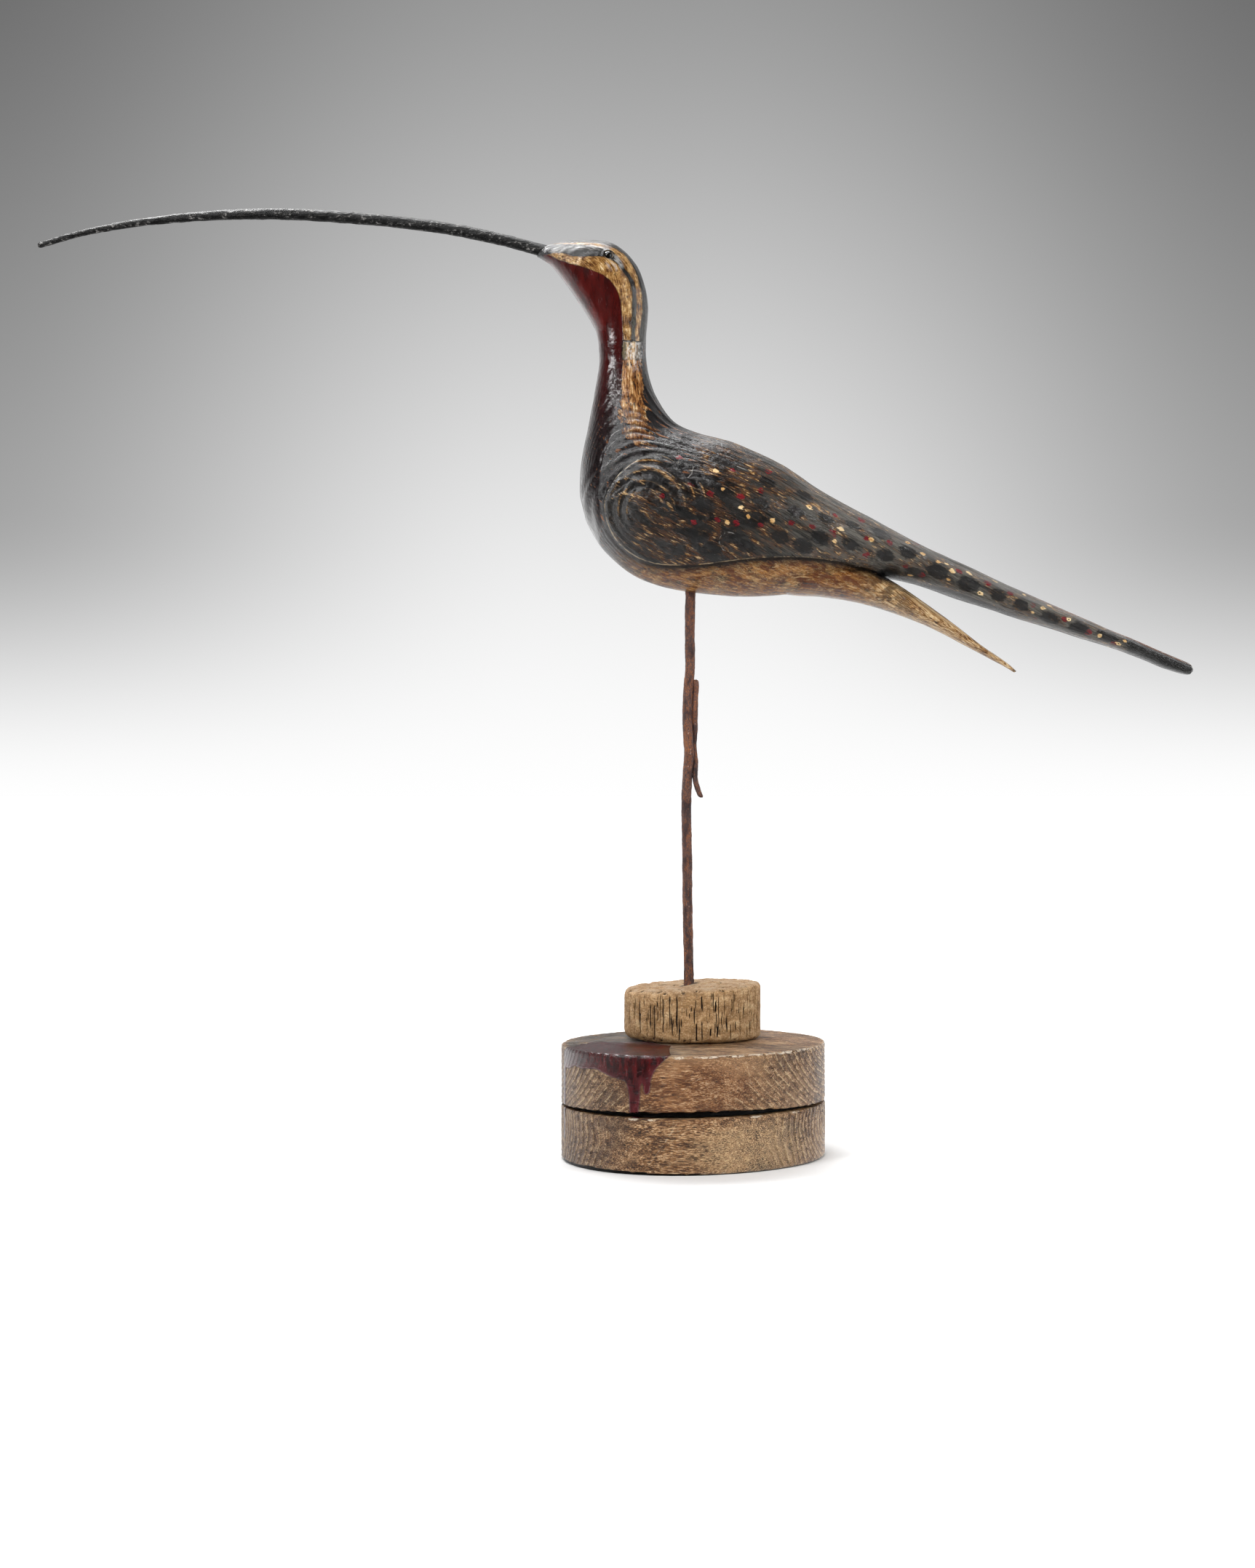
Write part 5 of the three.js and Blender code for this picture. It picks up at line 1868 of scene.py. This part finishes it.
def repair_band(base, here, rings, rubs):
    """The mended stretch under the neck joint: pale filler, olive at its front, with a dark wavy edge and a
    painted silvery highlight.
    """
    repair = border(stored("repair"), here, 1.4)
    blotch = lumps(here, (1.6, 1.6, 3), 5, 0.7, shift=77)
    filler = ramp(blotch, [(0.38, "4a4233"), (0.45, "8f8264"), (0.52, "bfb499"), (0.6, "dedbd2")])
    filler = mix(0.7, filler, neck_wood(here, rings, part(here, "Z")))
    ragged = part(here, "X") + blotch * 6.0
    filler = mix(band(ragged, -34.5, -36.5) * 0.8, filler, "4b4630")
    filler = mix(band(ragged, -30.5, -28.5) * 0.8, filler, "3a372b")
    base = mix(repair["Mask"], base, filler)
    # Painted highlight: a silvery gleam on the filler, where the varnish would mirror the lights.
    filler_gleam = near_spot(here, (-33, -14, 490), (7, 20, 17)) * band(blotch, 0.42, 0.6) * 0.5
    base = mix(filler_gleam, base, "c9c8c6")
    return mix(repair["Rim"] * band(rubs, 0.4, 0.5) * 0.7, base, "14100c")


# %% The head
def cheek_wood(flow, here):
    """Cream and tan wood with fine close grain, orange along the crown."""
    line = lumps(flow, (8, 0.8, 1.2), 4, 0.65, shift=73)
    patch = lumps(here, (5, 5, 5), 5, 0.65, shift=74)
    stops = [(0.36, "24150a"), (0.44, "5d3b1b"), (0.51, "8f6938"), (0.57, "b3925f"), (0.67, "e0cfae")]
    wood = ramp(line * 0.5 + patch * 0.5, stops)
    wood = mix(band(lumps(here, (0.8, 0.8, 0.8), 3, 0.7, shift=83), 0.5, 0.42) * 0.45, wood, "4b2a12")
    return mix(band(lumps(here, (1.3, 1.3, 2.2), 3, 0.6, shift=78), 0.58, 0.65) * 0.75, wood, "2a190c")


def head_material():
    made, shader = new_material("painted_head")
    here, flow = place_in_mm(), stored("flow", "Vector")
    x_mm, height = part(here, "X"), part(here, "Z")
    rings = use(ring_group, {"Rings": stored("rings"), "Vector": here})
    streaks = use(streak_group, {"Vector": flow, "Seed": 5.0})
    rubs = lumps(flow, (13, 3.5, 5), 5, 0.65, shift=6)
    wood = cheek_wood(flow, here)
    base = dark_paint(streaks, "0b0a0a", "262423")
    base = mix(band(height, 530, 505) * 0.6, base, dark_paint(streaks, "16140f", "3a3727"))
    bare = border(stored("bare"), flow, 0.3, 0.2)
    base = mix(bare["Mask"], base, wood)
    base = mix(bare["Rim"] * 0.5, base, "1a110a")
    red = border(stored("red"), here, 0.12)
    base = mix(red["Mask"], base, red_paint(here))
    base = mix(band(x_mm, -86, -90), base, dark_paint(streaks, "131313", "2f2e2e"))
    base = mix(band(stored("eye"), 3.4, 3.0) * band(rubs, 0.42, 0.55) * 0.3, base, "b39a7c")
    # Painted highlights: pale silver-grey patches on the crown, the brow and the cheek behind the eye stand
    # in for gleams on the varnish; the noise called rubbed here only breaks them up.
    rubbed = lumps(flow, (7, 2.5, 2.5), 5, 0.62, shift=79)
    crown = near_spot(here, (-58, -12, 552.5), (14, 9, 3.4))
    brow = near_spot(here, (-77, -6, 550.5), (10, 6, 3))
    painted_gleam = calc("MAXIMUM", calc("MAXIMUM", crown, brow), near_spot(here, (-45, -17, 542), (7, 16, 7)))
    base = mix(painted_gleam * band(rubbed, 0.4, 0.62) * (1.0 - red["Mask"]) * 0.5, base, "c4c1bd")
    feed(shader["Base Color"], base)
    relief = streaks["Fine"] * 0.4 + rings["Ridge"] * 0.3
    varnish(shader, here, rubs, relief * (1.0 - red["Mask"] * 0.9), 0.2)
    return made


wear(body_material(), bird_body)
wear(head_material(), bird_head)

# %% The bill and the eyes
def bill_material():
    made, shader = new_material("painted_bill")
    here = place_in_mm()
    patch = lumps(here, (12, 3, 3), 4, 0.65)
    fine = lumps(here, (5, 0.7, 0.7), 3, 0.6, shift=8)
    base = ramp(patch, [(0.3, "050505"), (0.55, "121212"), (0.75, "242322")])
    base = mix(band(fine, 0.58, 0.7) * 0.3, base, "4b4743")
    dents = lumps(here, (2.6, 1.8, 1.8), 3, 0.6, shift=80)
    # Painted highlights: pale grey glints on the dents, standing in for the bill's mottled highlights.
    base = mix(band(dents, 0.55, 0.68) * band(patch, 0.42, 0.58) * 0.6, base, "8a8784")
    feed(shader["Base Color"], base)
    feed(shader["Roughness"], between(fine, 0.36, 0.6, 0.3, 0.7))
    feed(shader["Specular IOR Level"], 0.25)
    feed(shader["Normal"], bumped(fine * 0.7 + dents * 1.2, 0.5))
    return made


def eye_material():
    made, shader = new_material("glass_eye")
    cloud = lumps(place_in_mm(), (2, 2, 2), 3)
    outward = stored("outward")
    glass = mix(band(outward, 0.55, 0.2), ramp(cloud, [(0.3, "030303"), (0.8, "0e0a08")]), "2a1e14")
    feed(shader["Base Color"], glass)
    feed(shader["Roughness"], between(cloud, 0.02, 0.1))
    return made


wear(bill_material(), bird_bill)
wear(eye_material(), left_eye, right_eye)

# %% [markdown]
# ## Floor and light
#
# The floor is plain and pale. A dark glossy object is drawn by what it mirrors, so the light matters more
# than the floor does. Two of the seven boxes only light the wood softly, and two are only mirrored: they
# give the gleam along the back and on the neck's bend. The three others do both, and draw the streaks on
# throat and breast. The wall around is darkest straight behind the bird and brightest low down at both
# sides, which keeps the dark wood dark and gives the outline its thin pale rim.

# %% The floor
def make_floor():
    """A wide pale disc. Far from the decoy it glows a little, as if the wall behind lit it."""
    ring = [(math.cos(turn) * 40, math.sin(turn) * 40, 0) for turn in turns(64)]
    floor = new_object("pale_floor", ring, [list(range(64))])
    made, shader = new_material("pale_floor")
    here = node("TexCoord", {}, output="Object")
    cloud = node("TexNoise", {"Vector": here, "Scale": 3.0})
    feed(shader["Base Color"], ramp(cloud, [(0.3, "e9e9e9"), (0.7, "ededed")]))
    feed(shader["Roughness"], 0.8)
    away = node("VectorMath", {0: here}, output="Value", operation="LENGTH")
    seen = node("LightPath", {}, output="Is Camera Ray")
    glow = band(away, 0.1, 1.5) * seen * 0.84
    feed(shader["Emission Strength"], 1.0)
    feed(shader["Emission Color"], node("CombineColor", {0: glow, 1: glow, 2: glow}))
    wear(made, floor)
    floor.visible_glossy = False  # the varnish mirrors only the light round the decoy
    floor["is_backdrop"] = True


make_floor()

# %% The wall of light behind and around
def make_world():
    world = bpy.data.worlds.new("studio")
    bpy.context.scene.world = world
    world.use_nodes = True
    recipe["tree"] = world.node_tree
    way = node("TexCoord", {}, output="Generated")
    across, ahead, up = abs(part(way, "X")), part(way, "Y"), part(way, "Z")
    height = band(up, 0.42, -0.05)
    corners = band(across, 0.03, 0.3) * band(up, -0.01, 0.12) * -0.55
    seen = between(height, 0.25, 1.02) * (corners + 1.0)
    behind = between(band(ahead, -0.15, 0.9), 0.06, 2.1)
    dim = band(across, 0.4, 0.15) * band(up, 0.5, 0.3) * band(up, 0.02, 0.06) * -0.9
    under = band(across, 0.5, 0.2) * band(up, 0.02, -0.15) * -0.5
    beside = band(across, 0.4, 0.7) * band(ahead, -0.5, -0.1) * band(up, 0.02, -0.25) * 1.4
    lit = between(height, 0.45, 0.9) * behind * (dim + 1.0) * (under + 1.0) + beside
    camera_ray = node("LightPath", {}, output="Is Camera Ray")
    background = world.node_tree.nodes["Background"].inputs
    feed(background["Color"], (1, 1, 1, 1))
    feed(background["Strength"], node("Mix", {0: camera_ray, 2: lit, 3: seen}, data_type="FLOAT"))


make_world()

# %% Soft boxes
def soft_box(name, azimuth, elevation, distance, width, height, power, role="light and gleam"):
    """A soft box that looks at the bird. Azimuth 0 is in front, and grows towards the tail."""
    data = bpy.data.lights.new(name, "AREA")
    data.shape = "RECTANGLE"
    data.size, data.size_y = width, height
    data.energy = power
    box = bpy.data.objects.new(name, data)
    turn, rise = math.radians(azimuth), math.radians(elevation)
    target = Vector((0, 0, 0.33))
    away = Vector((math.sin(turn) * math.cos(rise), -math.cos(turn) * math.cos(rise), math.sin(rise)))
    box.location = target + away * distance
    box.rotation_euler = (-away).to_track_quat("-Z", "Y").to_euler()
    box.visible_camera = False
    box.visible_glossy = "gleam" in role
    box.visible_diffuse = "light" in role
    bpy.context.scene.collection.objects.link(box)


soft_box("overhead", 192, 70, 1.5, 1.0, 0.5, 25, "light")
soft_box("back_gleam", 190, 78, 1.5, 0.9, 0.4, 24, "gleam")
soft_box("bend_gleam", 240, 60, 1.5, 0.6, 0.25, 30, "gleam")
soft_box("left_box", -46, 24, 1.7, 0.5, 0.4, 14)
soft_box("upper_box", -25, 50, 1.6, 0.7, 0.25, 12)
soft_box("right_box", 66, 15, 1.7, 0.25, 0.8, 12)
soft_box("front_fill", 10, 14, 2.6, 2.2, 1.6, 17, "light")
bpy.context.scene.view_settings.view_transform = "Standard"
print("lights:", len(bpy.data.lights))

# %% Sizes, and the end
dressed_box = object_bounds()
for corner, label in zip(range(2), ("lowest", "highest")):
    off = [round((dressed_box[corner][axis] - cad_box[corner][axis]) * 1000, 2) for axis in range(3)]
    print(label, "corner, mm off:", off)
